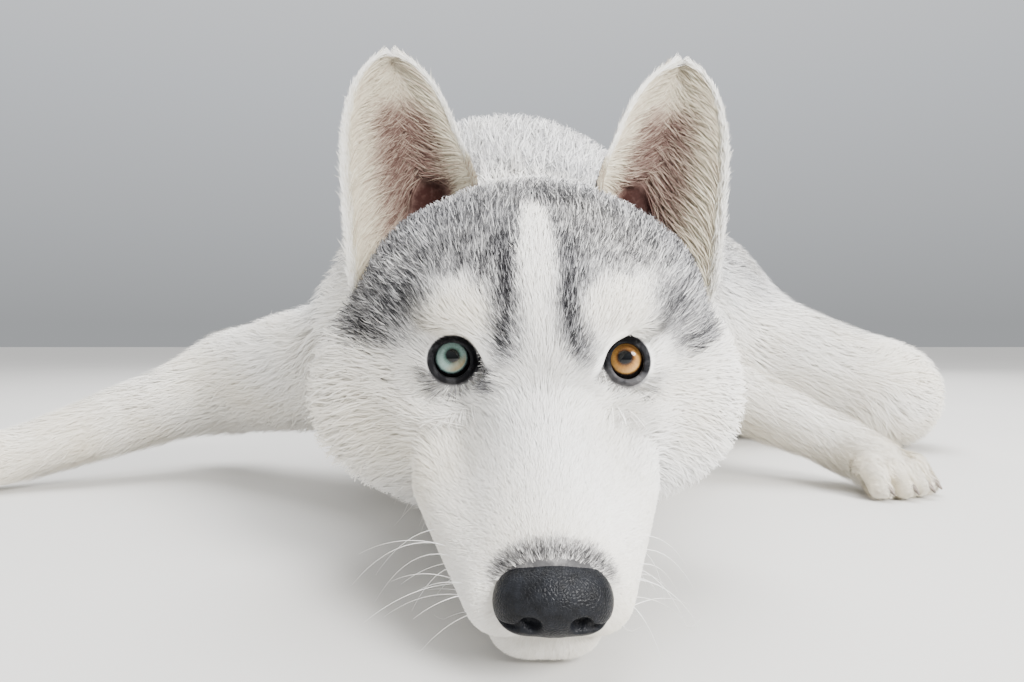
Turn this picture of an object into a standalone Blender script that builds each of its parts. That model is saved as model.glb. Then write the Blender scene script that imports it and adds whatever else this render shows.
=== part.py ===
"""A Siberian husky lying with its chin on the floor, as a still, life-size model.

Every flesh form is a rounded limb or a ball; one smooth skin is drawn round all of them, and thin cuts part
that skin into head, neck, chest, loin and legs. Metres, +Z up, the dog faces -Y and its left side is +X.
The layout is worked out round the nose tip, and the finished model is then moved to the middle of its box.
"""

import math
import random

import bmesh
import bpy
import numpy as np
from mathutils import Matrix, Vector
from mathutils.bvhtree import BVHTree

GAP = 0.0003  # left between touching pieces
SEED = 11

# Head, in its own frame: nose tip at the origin, +Y towards the neck, +Z up, the jaw line level.
NOSE_TIP = Vector((0.0, 0.0, 0.034))
HEAD_PITCH = math.radians(20.0)  # nose down
HEAD_YAW = math.radians(2.3)
HEAD_ROLL = math.radians(1.0)
EYE = Vector((0.0345, 0.1085, 0.0395))
EYE_RADIUS = 0.0112
# The ears are laid out in the head's frame with its pitch taken out, so they stand up.
EAR_ROOT = Vector((0.0570, 0.128, 0.128))
EAR_TIP = Vector((0.0700, 0.139, 0.2160))
EAR_BASE_SIDE = Vector((0.029, 0.004, -0.024))  # from the middle of the base to its outer corner
EAR_THICK = 0.0042
EAR_CUP = 0.020

# Spine stations, from the neck to the buttocks: place, then radius of the back and of the underline.
SPINE = (
    # x, y, z of the back's axis, its radius, z of the underline's axis, its radius
    (-0.004, 0.165, 0.112, 0.070, 0.090, 0.066),
    (-0.012, 0.270, 0.140, 0.090, 0.104, 0.084),
    (-0.019, 0.390, 0.168, 0.117, 0.098, 0.106),
    (0.036, 0.512, 0.164, 0.115, 0.096, 0.108),
    (0.112, 0.632, 0.156, 0.104, 0.088, 0.096),
    (0.194, 0.735, 0.150, 0.103, 0.088, 0.094),
    (0.246, 0.805, 0.120, 0.078, 0.082, 0.072),
)

# Forelegs: top of the shoulder blade, shoulder, elbow, wrist and knuckles, for the dog's left and right.
FORELEGS = {
    "left": (
        (0.050, 0.400, 0.190),
        (0.050, 0.335, 0.140),
        (0.116, 0.455, 0.094),
        (0.244, 0.388, 0.0330),
        (0.260, 0.358, 0.0200),
    ),
    "right": (
        (-0.082, 0.410, 0.185),
        (-0.103, 0.345, 0.103),
        (-0.257, 0.462, 0.078),
        (-0.398, 0.367, 0.0240),
        (-0.434, 0.344, 0.0190),
    ),
}
# Hind legs: hip, knee, hock and knuckles.
HIND_LEGS = {
    "left": ((0.222, 0.716, 0.108), (0.386, 0.620, 0.056), (0.378, 0.796, 0.0300), (0.437, 0.722, 0.0200)),
    "right": ((0.150, 0.772, 0.114), (0.040, 0.722, 0.060), (0.076, 0.872, 0.0300), (0.003, 0.806, 0.0200)),
}
TAIL = (
    (0.250, 0.815, 0.125),
    (0.288, 0.890, 0.080),
    (0.300, 0.965, 0.050),
    (0.288, 1.035, 0.043),
    (0.252, 1.092, 0.041),
)
TAIL_CORE = 0.022
TOE_SPREAD = 0.0155
TOE_LENGTH = 0.030

BODY_STEP = 0.0062  # grid of the skin on the body
FOOT_STEP = 0.0030
HEAD_STEP = 0.0026


def head_to_world():
    """The head's own frame in the model's: pitched, then rolled and turned about the nose tip."""
    pitched = Matrix.Rotation(HEAD_PITCH, 4, "X") @ Matrix.Rotation(HEAD_ROLL, 4, "Y")
    return Matrix.Translation(NOSE_TIP) @ Matrix.Rotation(HEAD_YAW, 4, "Z") @ pitched


HEAD = head_to_world()
UPRIGHT = Matrix.Translation(NOSE_TIP)
UPRIGHT = UPRIGHT @ Matrix.Rotation(HEAD_YAW, 4, "Z") @ Matrix.Rotation(HEAD_ROLL, 4, "Y")
TO_HEAD = np.array(HEAD.inverted())


# Distance fields: negative inside, and blended so that forms flow into each other.


def ball(points, centre, radii):
    """Distance to an ellipsoid."""
    away = points - np.asarray(centre)
    scaled = np.sqrt(((away / radii) ** 2).sum(1)) + 1e-9
    slope = np.sqrt(((away / np.square(radii)) ** 2).sum(1)) + 1e-9
    return scaled * (scaled - 1.0) / slope


def limb(points, start, end, start_radius, end_radius, flat=(1.0, 1.0, 1.0)):
    """Distance to a tapered rod with round ends; flat squeezes its cross-section."""
    flat = np.asarray(flat)
    p = (points - np.asarray(start)) / flat
    axis = (np.asarray(end) - np.asarray(start)) / flat
    along = np.clip((p @ axis) / (axis @ axis), 0.0, 1.0)
    away = np.sqrt(((p - along[:, None] * axis) ** 2).sum(1))
    return (away - (start_radius + (end_radius - start_radius) * along)) * flat.min()


def merge(first, second, softness):
    """Union of two fields with a rounded valley between them."""
    share = np.clip(0.5 + 0.5 * (second - first) / softness, 0.0, 1.0)
    return second + (first - second) * share - softness * share * (1.0 - share)


def carve(field, cutter, softness):
    """Takes the cutter out of the field with a rounded edge."""
    return -merge(-field, cutter, softness)


def mirrored(points):
    """The points in the head's frame, all folded over to its left side."""
    p = points @ TO_HEAD[:3, :3].T + TO_HEAD[:3, 3]
    p[:, 0] = np.abs(p[:, 0])
    return p


def head_field(points):
    """Skull, muzzle, cheeks and ruff, from points in the model's frame."""
    p = mirrored(points)
    field = ball(p, (0.0, 0.156, 0.049), (0.067, 0.068, 0.054))
    field = merge(field, ball(p, (0.0, 0.124, 0.046), (0.052, 0.048, 0.043)), 0.020)
    field = merge(field, ball(p, (0.048, 0.152, 0.040), (0.030, 0.042, 0.040)), 0.020)
    muzzle = limb(p, (0.0, 0.034, -0.008), (0.0, 0.110, 0.002), 0.0240, 0.033, (1.12, 1.0, 0.90))
    field = merge(field, muzzle, 0.012)
    field = merge(field, limb(p, (0.0, 0.022, -0.0055), (0.0, 0.096, 0.023), 0.0140, 0.0195), 0.010)
    field = merge(field, limb(p, (0.0165, 0.025, -0.0170), (0.034, 0.092, -0.011), 0.0128, 0.0180), 0.008)
    field = merge(field, limb(p, (0.041, 0.112, 0.012), (0.060, 0.158, 0.020), 0.016, 0.026), 0.018)
    field = merge(field, ball(p, (0.061, 0.160, -0.003), (0.042, 0.040, 0.047)), 0.022)
    field = merge(field, ball(p, (0.0, 0.158, -0.012), (0.070, 0.060, 0.041)), 0.024)
    field = merge(field, ball(p, (0.0285, 0.1035, 0.0600), (0.020, 0.015, 0.0125)), 0.010)
    # The socket, then the ring of the lids round it.
    eye = np.array(EYE)
    gaze = np.array((0.02, -0.995, 0.04))
    field = carve(field, ball(p, eye + gaze * 0.012, (0.0150, 0.011, 0.0115)), 0.008)
    lids = np.abs(ball(p, eye, (EYE_RADIUS + 0.0022,) * 3)) - 0.0020
    slant = p - eye - gaze * 0.0125
    slant = slant @ np.array(((0.985, 0.0, -0.174), (0.0, 1.0, 0.0), (0.174, 0.0, 0.985)))
    lids = carve(lids, ball(slant, (0.0, 0.0, 0.0), (0.0128, 0.012, 0.0098)), 0.0012)
    return merge(field, lids, 0.0035)


def jaw_field(points):
    """The lower jaw, which sits under the lips."""
    p = mirrored(points)
    field = limb(p, (0.0, 0.034, -0.0330), (0.0, 0.100, -0.034), 0.0145, 0.025, (1.15, 1.0, 0.95))
    return merge(field, limb(p, (0.010, 0.030, -0.0320), (0.026, 0.094, -0.030), 0.010, 0.015), 0.008)


def on_curve(a, b, c, d, t):
    """The point between b and c, at share t, of a smooth line through all four."""
    return 0.5 * (2 * b + (c - a) * t + (2 * a - 5 * b + 4 * c - d) * t * t + (3 * b - a - 3 * c + d) * t**3)


def smoothed(stations, steps):
    """More stations, on a smooth line through the given ones."""
    knots = np.array(stations, float)
    line = []
    for i in range(len(knots) - 1):
        a, b, c, d = (knots[min(max(i + j, 0), len(knots) - 1)] for j in (-1, 0, 1, 2))
        for t in np.arange(steps) / steps:
            line.append(on_curve(a, b, c, d, t))
    return np.array([*line, knots[-1]])


def trunk_field(points):
    """Neck, chest, loin and rump, closed by the floor only later."""
    line = smoothed(SPINE, 4)
    back = under = None
    for near, far in zip(line, line[1:]):
        upper = limb(points, near[:3], far[:3], near[3], far[3])
        lower = limb(points, near[[0, 1, 4]], far[[0, 1, 4]], near[5], far[5])
        back = upper if back is None else np.minimum(back, upper)
        under = lower if under is None else np.minimum(under, lower)
    return merge(back, under, 0.05)


def foot_field(points, wrist, knuckles, width):
    """A paw: pad and four arched toes that point on from the knuckles."""
    wrist, knuckles = np.array(wrist), np.array(knuckles)
    ahead = knuckles - wrist
    ahead[2] = 0.0
    ahead /= np.linalg.norm(ahead)
    aside = np.array((-ahead[1], ahead[0], 0.0))
    field = limb(points, wrist, knuckles, 0.0210, width)
    for place in (-1.5, -0.5, 0.5, 1.5):
        reach = TOE_LENGTH - 0.0045 * abs(place) ** 1.5
        root = knuckles + aside * place * TOE_SPREAD * 0.72 + ahead * 0.004
        knuckle = knuckles + aside * place * TOE_SPREAD * 0.98 + ahead * reach * 0.62
        knuckle[2] = 0.0195
        tip = knuckles + aside * place * TOE_SPREAD * 1.10 + ahead * reach
        tip[2] = 0.0080
        toe = limb(points, root, knuckle, 0.0120, 0.0102)
        toe = merge(toe, limb(points, knuckle, tip, 0.0102, 0.0095), 0.004)
        field = merge(field, toe, 0.0035)
    return field


def foreleg_field(points, side):
    blade, shoulder, elbow, wrist, knuckles = FORELEGS[side]
    field = limb(points, blade, shoulder, 0.052, 0.056)
    field = merge(field, limb(points, shoulder, elbow, 0.055, 0.044), 0.02)
    field = merge(field, limb(points, elbow, wrist, 0.037, 0.0205), 0.02)
    return merge(field, foot_field(points, wrist, knuckles, 0.0220), 0.008)


def thigh_field(points, side):
    hip, knee, hock, _ = HIND_LEGS[side]
    field = limb(points, hip, knee, 0.086, 0.055)
    return merge(field, limb(points, knee, hock, 0.046, 0.026), 0.03)


def hind_foot_field(points, side):
    """Hock, instep and hind paw, along the outside of the folded leg."""
    _, _, hock, knuckles = HIND_LEGS[side]
    instep = np.array(knuckles) * 0.72 + np.array(hock) * 0.28
    field = limb(points, hock, knuckles, 0.0270, 0.0220)
    return merge(field, foot_field(points, instep, knuckles, 0.0220), 0.006)


def flesh_field(points):
    """The whole dog but its jaw, ears, hind feet and tail."""
    field = merge(trunk_field(points), head_field(points), 0.016)
    for side in ("left", "right"):
        field = merge(field, thigh_field(points, side), 0.035)
        field = merge(field, foreleg_field(points, side), 0.030)
    return field


# Meshes from fields.


def pinched_patterns():
    """For each pattern of a cell's eight corner signs, whether two sheets of skin would meet in the cell."""
    corners = [(i, j, k) for i in (0, 1) for j in (0, 1) for k in (0, 1)]

    def in_one_piece(chosen):
        if not chosen:
            return True
        seen, queue = {chosen[0]}, [chosen[0]]
        while queue:
            here = queue.pop()
            for other in chosen:
                if other not in seen and sum(abs(here[i] - other[i]) for i in range(3)) == 1:
                    seen.add(other)
                    queue.append(other)
        return len(seen) == len(chosen)

    pinched = np.zeros(256, bool)
    for pattern in range(256):
        full = [c for bit, c in enumerate(corners) if pattern >> bit & 1]
        empty = [c for bit, c in enumerate(corners) if not pattern >> bit & 1]
        pinched[pattern] = not (in_one_piece(full) and in_one_piece(empty))
    return pinched, corners


def sample(field, low, high, step):
    """The field above the floor on a grid, with cells filled in where the skin would pinch."""
    axes = [np.arange(low[i], high[i] + step, step) for i in range(3)]
    grid = np.empty(tuple(len(a) for a in axes))
    for i, x in enumerate(axes[0]):
        y, z = np.meshgrid(axes[1], axes[2], indexing="ij")
        layer = np.stack((np.full(y.size, x), y.ravel(), z.ravel()), 1)
        grid[i] = np.maximum(field(layer), -layer[:, 2]).reshape(grid.shape[1:])
    pinched, corners = pinched_patterns()
    nx, ny, nz = (n - 1 for n in grid.shape)
    for _ in range(30):
        pattern = np.zeros((nx, ny, nz), np.int64)
        for bit, (i, j, k) in enumerate(corners):
            pattern |= (grid[i : nx + i, j : ny + j, k : nz + k] < 0).astype(np.int64) << bit
        bad = pinched[pattern]
        if not bad.any():
            break
        for i, j, k in corners:
            part = grid[i : nx + i, j : ny + j, k : nz + k]
            part[bad & (part >= 0)] = -1e-6
    return grid, np.array([a[0] for a in axes])


def skin(name, field, low, high, step):
    """A closed mesh on the field's zero level: one point in each crossed cell, one face on each crossed edge."""
    grid, corner = sample(field, low, high, step)
    inside = grid < 0
    offsets = [(i, j, k) for i in (0, 1) for j in (0, 1) for k in (0, 1)]
    nx, ny, nz = (n - 1 for n in grid.shape)
    count = sum(inside[i : nx + i, j : ny + j, k : nz + k].astype(np.int8) for i, j, k in offsets)
    cells = np.argwhere((count > 0) & (count < 8))
    number = np.full((nx, ny, nz), -1, np.int64)
    number[tuple(cells.T)] = np.arange(len(cells))
    total = np.zeros((len(cells), 3))
    crossings = np.zeros(len(cells))
    for a in offsets:
        for axis in range(3):
            if a[axis]:
                continue
            b = tuple(a[i] + (i == axis) for i in range(3))
            near = grid[tuple((cells + a).T)]
            far = grid[tuple((cells + b).T)]
            cut = (near < 0) != (far < 0)
            place = np.tile(np.array(a, float), (len(cells), 1))
            place[cut, axis] += near[cut] / (near[cut] - far[cut])
            total[cut] += place[cut]
            crossings[cut] += 1
    points = corner + step * (cells + total / crossings[:, None])
    faces = []
    for axis in range(3):
        u, v = (axis + 1) % 3, (axis + 2) % 3
        here = np.take(inside, range(grid.shape[axis] - 1), axis)
        there = np.take(inside, range(1, grid.shape[axis]), axis)
        edges = np.argwhere(here != there)
        edges = edges[(edges[:, u] > 0) & (edges[:, v] > 0)]
        edges = edges[(edges[:, u] < grid.shape[u] - 1) & (edges[:, v] < grid.shape[v] - 1)]
        step_u, step_v = np.eye(3, dtype=int)[u], np.eye(3, dtype=int)[v]
        ring = [number[tuple((edges - d).T)] for d in (step_u + step_v, step_v, 0 * step_u, step_u)]
        quads = np.stack(ring, 1)
        outward = here[tuple(edges.T)]
        faces.append(np.where(outward[:, None], quads, quads[:, ::-1]))
    mesh = bpy.data.meshes.new(name)
    mesh.from_pydata(points.tolist(), [], np.concatenate(faces).tolist())
    return mesh


def add(name, mesh):
    made = bpy.data.objects.new(name, mesh)
    bpy.context.scene.collection.objects.link(made)
    return made


def settled(obj):
    """Applies the object's modifiers."""
    bpy.context.view_layer.update()
    graph = bpy.context.evaluated_depsgraph_get()
    mesh = bpy.data.meshes.new_from_object(obj.evaluated_get(graph))
    obj.modifiers.clear()
    obj.data = mesh
    return obj


def is_closed(mesh):
    body = bmesh.new()
    body.from_mesh(mesh)
    closed = all(e.is_manifold for e in body.edges) and all(v.is_manifold for v in body.verts)
    body.free()
    return closed


def thin_out(obj, triangles, keep=None):
    """Fewer triangles, kept where the shape bends; keep gives spots, as centre and radius, to spare."""
    obj.data.calc_loop_triangles()
    share = triangles / len(obj.data.loop_triangles)
    if keep:
        group = obj.vertex_groups.new(name="thin")
        for vertex in obj.data.vertices:
            near = min((vertex.co - centre).length / radius for centre, radius in keep)
            group.add([vertex.index], min(max(near - 0.6, 0.02), 1.0), "REPLACE")
    whole = obj.data
    for attempt in range(20):
        obj.data = whole.copy()
        fewer = obj.modifiers.new("fewer", "DECIMATE")
        fewer.ratio = min(share * (1.0 + 0.02 * attempt), 1.0)
        if keep:
            fewer.vertex_group = "thin"
        settled(obj)
        for vertex in obj.data.vertices:
            if vertex.co.z < 0.0012:
                vertex.co.z = 0.0
        if is_closed(obj.data):
            break
    return obj


def cut_flat(obj, point, normal):
    """Keeps the side that the normal points away from, and closes the cut with a flat face."""
    body = bmesh.new()
    body.from_mesh(obj.data)
    everything = body.verts[:] + body.edges[:] + body.faces[:]
    cut = bmesh.ops.bisect_plane(body, geom=everything, dist=1e-7, plane_co=point, plane_no=normal, clear_outer=True)
    rim = [e for e in cut["geom_cut"] if isinstance(e, bmesh.types.BMEdge)]
    made = bmesh.ops.triangle_fill(body, edges=rim, use_beauty=True, use_dissolve=False, normal=normal)
    made.clear()
    bmesh.ops.remove_doubles(body, verts=body.verts[:], dist=2e-5)
    bmesh.ops.recalc_face_normals(body, faces=body.faces[:])
    body.to_mesh(obj.data)
    body.free()
    return obj


def pieces_of(obj):
    """The separate closed surfaces of a mesh, each as a list of faces' corner numbers, biggest box first."""
    mesh = obj.data
    parent = list(range(len(mesh.vertices)))

    def root(i):
        while parent[i] != i:
            parent[i] = parent[parent[i]]
            i = parent[i]
        return i

    for edge in mesh.edges:
        a, b = (root(v) for v in edge.vertices)
        parent[a] = b
    groups = {}
    for face in mesh.polygons:
        groups.setdefault(root(face.vertices[0]), []).append(tuple(face.vertices))
    return list(groups.values())


def mesh_of(name, source, faces):
    used = sorted({v for f in faces for v in f})
    number = {v: i for i, v in enumerate(used)}
    mesh = bpy.data.meshes.new(name)
    mesh.from_pydata([source.vertices[v].co[:] for v in used], [], [[number[v] for v in f] for f in faces])
    return mesh


def size_of(source, faces):
    """Volume that a closed set of faces holds."""
    total = 0.0
    for face in faces:
        a, b, c = (source.vertices[face[i]].co for i in (0, 1, -1))
        for i in range(1, len(face) - 1):
            b, c = source.vertices[face[i]].co, source.vertices[face[i + 1]].co
            total += a.dot(b.cross(c)) / 6.0
    return total


def keep_largest(obj):
    """Drops scraps, and the inner surface of a hollow that fusing sealed, then welds what a cut left split."""
    best = max(pieces_of(obj), key=lambda faces: size_of(obj.data, faces))
    obj.data = mesh_of(obj.name, obj.data, best)
    for distance in (2e-5, 5e-5, 9e-5, 5e-6):
        body = bmesh.new()
        body.from_mesh(obj.data)
        bmesh.ops.remove_doubles(body, verts=body.verts[:], dist=distance)
        bmesh.ops.dissolve_degenerate(body, edges=body.edges[:], dist=distance)
        bmesh.ops.triangulate(body, faces=[f for f in body.faces if len(f.verts) > 4])
        closed = all(e.is_manifold for e in body.edges) and all(v.is_manifold for v in body.verts)
        if closed:
            body.to_mesh(obj.data)
        body.free()
        if closed:
            break
    return obj


def combined(obj, others, operation, solver="EXACT"):
    """One Boolean of the object with all the others at once."""
    group = bpy.data.collections.new("tools")
    for other in others:
        for holder in list(other.users_collection):
            holder.objects.unlink(other)
        group.objects.link(other)
    join = obj.modifiers.new("join", "BOOLEAN")
    join.operation = operation
    join.operand_type = "COLLECTION"
    join.collection = group
    join.solver = solver
    settled(obj)
    for other in others:
        bpy.data.objects.remove(other)
    bpy.data.collections.remove(group)
    return obj


def grown(obj, distance):
    """A copy of the object, swollen along its normals."""
    mesh = obj.data.copy()
    normals = [v.normal.copy() for v in mesh.vertices]
    for vertex, normal in zip(mesh.vertices, normals):
        vertex.co += normal * distance
    return add(obj.name + "_grown", mesh)


def clear_of(obj, neighbours):
    """Cuts the object back from its neighbours, and leaves the gap that touching pieces keep."""
    for neighbour in neighbours:
        combined(obj, [grown(neighbour, GAP * 1.3)], "DIFFERENCE")
        keep_largest(obj)
    return obj


# Locks of the long coat.


def lock(root, normal, lie, length, width, lift, sink, sway=0.0):
    """Points and faces of one flat, tapered lock that leaves the skin, bends over and ends in a point."""
    side = lie.cross(normal).normalized()
    rings = (
        (root - normal * sink - lie * width * 0.2, 0.85, 0.26),
        (root + lie * length * 0.34 + normal * lift * 0.80 + side * sway * 0.25, 1.00, 0.20),
        (root + lie * length * 0.72 + normal * lift + side * sway * 0.70, 0.64, 0.15),
    )
    points = []
    for middle, share, thick in rings:
        half = side * width * 0.5 * share
        rise = normal * width * thick * share
        points += [middle - half, middle + rise, middle + half, middle - rise]
    points.append(root + lie * length + normal * lift * 0.70 + side * sway)
    faces = [(3, 2, 1, 0)]
    for ring in (0, 4):
        faces += [(ring + i, ring + (i + 1) % 4, ring + 4 + (i + 1) % 4, ring + 4 + i) for i in range(4)]
    faces += [(8 + i, 8 + (i + 1) % 4, 12) for i in range(4)]
    return points, faces


def room_along(place, lie, seam, longest):
    """The length that a lock may have before it would cross the seam of its node."""
    point, normal = seam
    speed = lie.dot(normal)
    if speed < 0.05:
        return longest
    return min(longest, (point - place).dot(normal) / speed - 0.003)


def with_locks(obj, locks):
    """Fuses the locks into the object with one union, above the floor."""
    made = []
    for number, (points, faces) in enumerate(locks):
        mesh = bpy.data.meshes.new("lock")
        mesh.from_pydata([(p.x, p.y, max(p.z, 0.0015)) for p in points], [], faces)
        body = bmesh.new()
        body.from_mesh(mesh)
        bmesh.ops.triangulate(body, faces=body.faces[:])
        bmesh.ops.recalc_face_normals(body, faces=body.faces[:])
        body.to_mesh(mesh)
        body.free()
        made.append(add(f"lock_{number}", mesh))
    combined(obj, made, "UNION", "MANIFOLD")
    return keep_largest(obj)


# Sub-parts.


def curved_rod(name, middle, radii, sides):
    """A closed tube through the middle points, with a cap at each end."""
    body = bmesh.new()
    rings = []
    for i, point in enumerate(middle):
        ahead = (middle[min(i + 1, len(middle) - 1)] - middle[max(i - 1, 0)]).normalized()
        frame = ahead.to_track_quat("Z", "Y").to_matrix()
        ring = []
        for k in range(sides):
            angle = 2 * math.pi * k / sides
            ring.append(body.verts.new(point + frame @ Vector((math.cos(angle), math.sin(angle), 0)) * radii[i]))
        rings.append(ring)
    for a, b in zip(rings, rings[1:]):
        for k in range(sides):
            body.faces.new((a[k], a[(k + 1) % sides], b[(k + 1) % sides], b[k]))
    body.faces.new(rings[0][::-1])
    body.faces.new(rings[-1])
    bmesh.ops.recalc_face_normals(body, faces=body.faces[:])
    mesh = bpy.data.meshes.new(name)
    body.to_mesh(mesh)
    body.free()
    return add(name, mesh)


def make_ear(side):
    """A cupped, pointed ear: two skins, one behind the other, closed round the edge."""
    sign = 1.0 if side == "left" else -1.0
    mirror = Vector((sign, 1.0, 1.0))
    root, tip, base = (v * mirror for v in (EAR_ROOT, EAR_TIP, EAR_BASE_SIDE))
    face = Vector((0.20 * sign, -0.97, 0.10)).normalized()
    flat = Vector((base.length * 0.78 * sign, 0.0, 0.0))
    rows, columns, sunk = 9, 9, -0.32
    front, rear = [], []
    body = bmesh.new()
    for i in range(rows):
        t = sunk + (0.985 - sunk) * i / (rows - 1)
        rise = max(t, 0.0)
        share = (1.0 - rise**2.6) ** 0.72
        aside = base.lerp(flat, min(rise * 1.9, 1.0)) * max(share, 0.10)
        cup = EAR_CUP * (1.0 - 0.80 * rise)
        for skin_points, back in ((front, 0.0), (rear, EAR_THICK)):
            row = []
            for j in range(columns):
                s = -1.0 + 2.0 * j / (columns - 1)
                bend = cup * (1.0 - s * s) + back * (1.0 - 0.45 * abs(s) ** 3)
                place = root.lerp(tip, t) + aside * s - face * bend
                row.append(body.verts.new(place))
            skin_points.append(row)
    for i in range(rows - 1):
        for j in range(columns - 1):
            for sheet, flip in ((front, False), (rear, True)):
                a, b, c, d = sheet[i][j], sheet[i][j + 1], sheet[i + 1][j + 1], sheet[i + 1][j]
                for corner in ((a, b, c), (a, c, d)):
                    body.faces.new(corner[::-1] if flip else corner)
        for j in (0, columns - 1):
            body.faces.new((front[i][j], front[i + 1][j], rear[i + 1][j], rear[i][j]))
    for j in range(columns - 1):
        for i in (0, rows - 1):
            body.faces.new((front[i][j], front[i][j + 1], rear[i][j + 1], rear[i][j]))
    bmesh.ops.recalc_face_normals(body, faces=body.faces[:])
    mesh = bpy.data.meshes.new(f"ear_{side}")
    body.to_mesh(mesh)
    body.free()
    made = add(f"ear_{side}", mesh)
    made.data.transform(UPRIGHT)
    return made


def make_eye(side):
    sign = 1.0 if side == "left" else -1.0
    bpy.ops.mesh.primitive_uv_sphere_add(segments=12, ring_count=8, radius=EYE_RADIUS)
    made = bpy.context.object
    made.name = f"eye_{side}"
    made.data.transform(HEAD @ Matrix.Translation((EYE.x * sign, EYE.y, EYE.z)))
    return made


def nose_field(points):
    """The bare pad, with a comma-shaped nostril on each side and the groove below."""
    p = mirrored(points)
    field = ball(p, (0.0, 0.0125, -0.0075), (0.0170, 0.0125, 0.0125))
    field = merge(field, ball(p, (0.0105, 0.0125, -0.0090), (0.0090, 0.0100, 0.0100)), 0.004)
    field = carve(field, ball(p, (0.0080, 0.0010, -0.0100), (0.0036, 0.0050, 0.0030)), 0.0015)
    field = carve(field, limb(p, (0.0108, 0.0022, -0.0115), (0.0168, 0.0080, -0.0130), 0.0017, 0.0012), 0.0012)
    return carve(field, limb(p, (0.0, -0.0010, -0.0140), (0.0, 0.0060, -0.0220), 0.0010, 0.0014), 0.0012)


def nose_socket_field(points):
    """The pad without its openings, swollen by the gap, which leaves its bed in the muzzle."""
    p = mirrored(points)
    field = ball(p, (0.0, 0.0125, -0.0075), (0.0170, 0.0125, 0.0125))
    return merge(field, ball(p, (0.0105, 0.0125, -0.0090), (0.0090, 0.0100, 0.0100)), 0.004) - GAP * 2


def make_claw(name, root, ahead, length, thick):
    """A blunt, curved claw that points on from its toe and down."""
    down = Vector((0, 0, -1))
    middle = [
        root - ahead * length * 0.5 + down * -0.0010,
        root,
        root + ahead * length * 0.45 + down * length * 0.10,
        root + ahead * length * 0.85 + down * length * 0.42,
    ]
    return curved_rod(name, middle, [thick, thick, thick * 0.74, thick * 0.26], 5)


def claw_roots(wrist, knuckles, spread):
    """Where each claw leaves its toe, and the way it points."""
    wrist, knuckles = Vector(wrist), Vector(knuckles)
    ahead = knuckles - wrist
    ahead.z = 0.0
    ahead.normalize()
    aside = Vector((-ahead.y, ahead.x, 0.0))
    for place in (-1.5, -0.5, 0.5, 1.5):
        reach = TOE_LENGTH - 0.0045 * abs(place) ** 1.5
        root = knuckles + aside * place * spread * 1.10 + ahead * (reach + 0.0075)
        root.z = 0.0125
        yield root, (ahead + aside * place * 0.06).normalized()


def surface_of(obj):
    body = bmesh.new()
    body.from_mesh(obj.data)
    tree = BVHTree.FromBMesh(body)
    body.free()
    return tree


def ruff_of_head(head):
    """Locks of the cheek ruff, in rows from below the ear to the throat, swept down and back."""
    rng = random.Random(SEED)
    tree = surface_of(head)
    turn = HEAD.to_3x3()
    locks = []
    for sign in (-1.0, 1.0):
        for row in range(2):
            for step in range(7):
                angle = math.radians(34 - 17 * step - 8 * row + rng.uniform(-3, 3))
                start = Vector((0.0, 0.126 + 0.027 * row + rng.uniform(-0.003, 0.003), 0.004))
                ray = Vector((sign * math.cos(angle), 0.0, math.sin(angle)))
                place, normal, _, _ = tree.ray_cast(HEAD @ start, turn @ ray)
                sweep = turn @ Vector((sign * 0.12, 0.66, -0.74 + 0.006 * step))
                lie = (sweep - normal * sweep.dot(normal)).normalized()
                length = room_along(place, lie, HEAD_CUT, 0.046 + rng.uniform(-0.004, 0.004))
                if place.z > 0.022 and length > 0.024:
                    sway = rng.uniform(-0.006, 0.006)
                    locks.append(lock(place, normal, lie, length, 0.025, 0.0085, 0.007, sway))
    return locks


def ruff_of_neck(neck):
    """Locks round the neck, lying back over it; they end short of the seam behind them."""
    rng = random.Random(SEED + 1)
    tree = surface_of(neck)
    start, end = Vector(SPINE[0][:3]), Vector(SPINE[2][:3])
    axis = (end - start).normalized()
    across = axis.cross(Vector((0, 0, 1))).normalized()
    above = across.cross(axis)
    locks = []
    for row in range(2):
        count = 10 + row
        for step in range(count):
            angle = math.radians(-122 + 244 * (step + 0.5 * (row % 2)) / (count - 0.5))
            origin = start + axis * (0.046 + 0.036 * row) + Vector((0, 0, 0.004))
            ray = across * math.sin(angle) + above * math.cos(angle)
            place, normal, _, _ = tree.ray_cast(origin, ray)
            if place is None or place.z < 0.026 or (place - HEAD_CUT[0]).dot(HEAD_CUT[1]) < 0.008:
                continue
            sweep = axis + Vector((0, 0, -0.45)) * abs(math.sin(angle))
            lie = (sweep - normal * sweep.dot(normal)).normalized()
            length = room_along(place, lie, NECK_CUT, 0.060 + rng.uniform(-0.006, 0.006))
            if length > 0.026:
                sway = rng.uniform(-0.008, 0.008)
                locks.append(lock(place, normal, lie, length, 0.036, 0.012, 0.009, sway))
    return locks


def tail_line(steps):
    """A smooth line through the tail's own points."""
    knots = [Vector(p) for p in TAIL]
    line = []
    for i in range(steps + 1):
        t = i / steps * (len(knots) - 1)
        k = min(int(t), len(knots) - 2)
        t -= k
        a, b, c, d = (knots[min(max(k + j, 0), len(knots) - 1)] for j in (-1, 0, 1, 2))
        line.append(on_curve(a, b, c, d, t))
    return line


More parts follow.
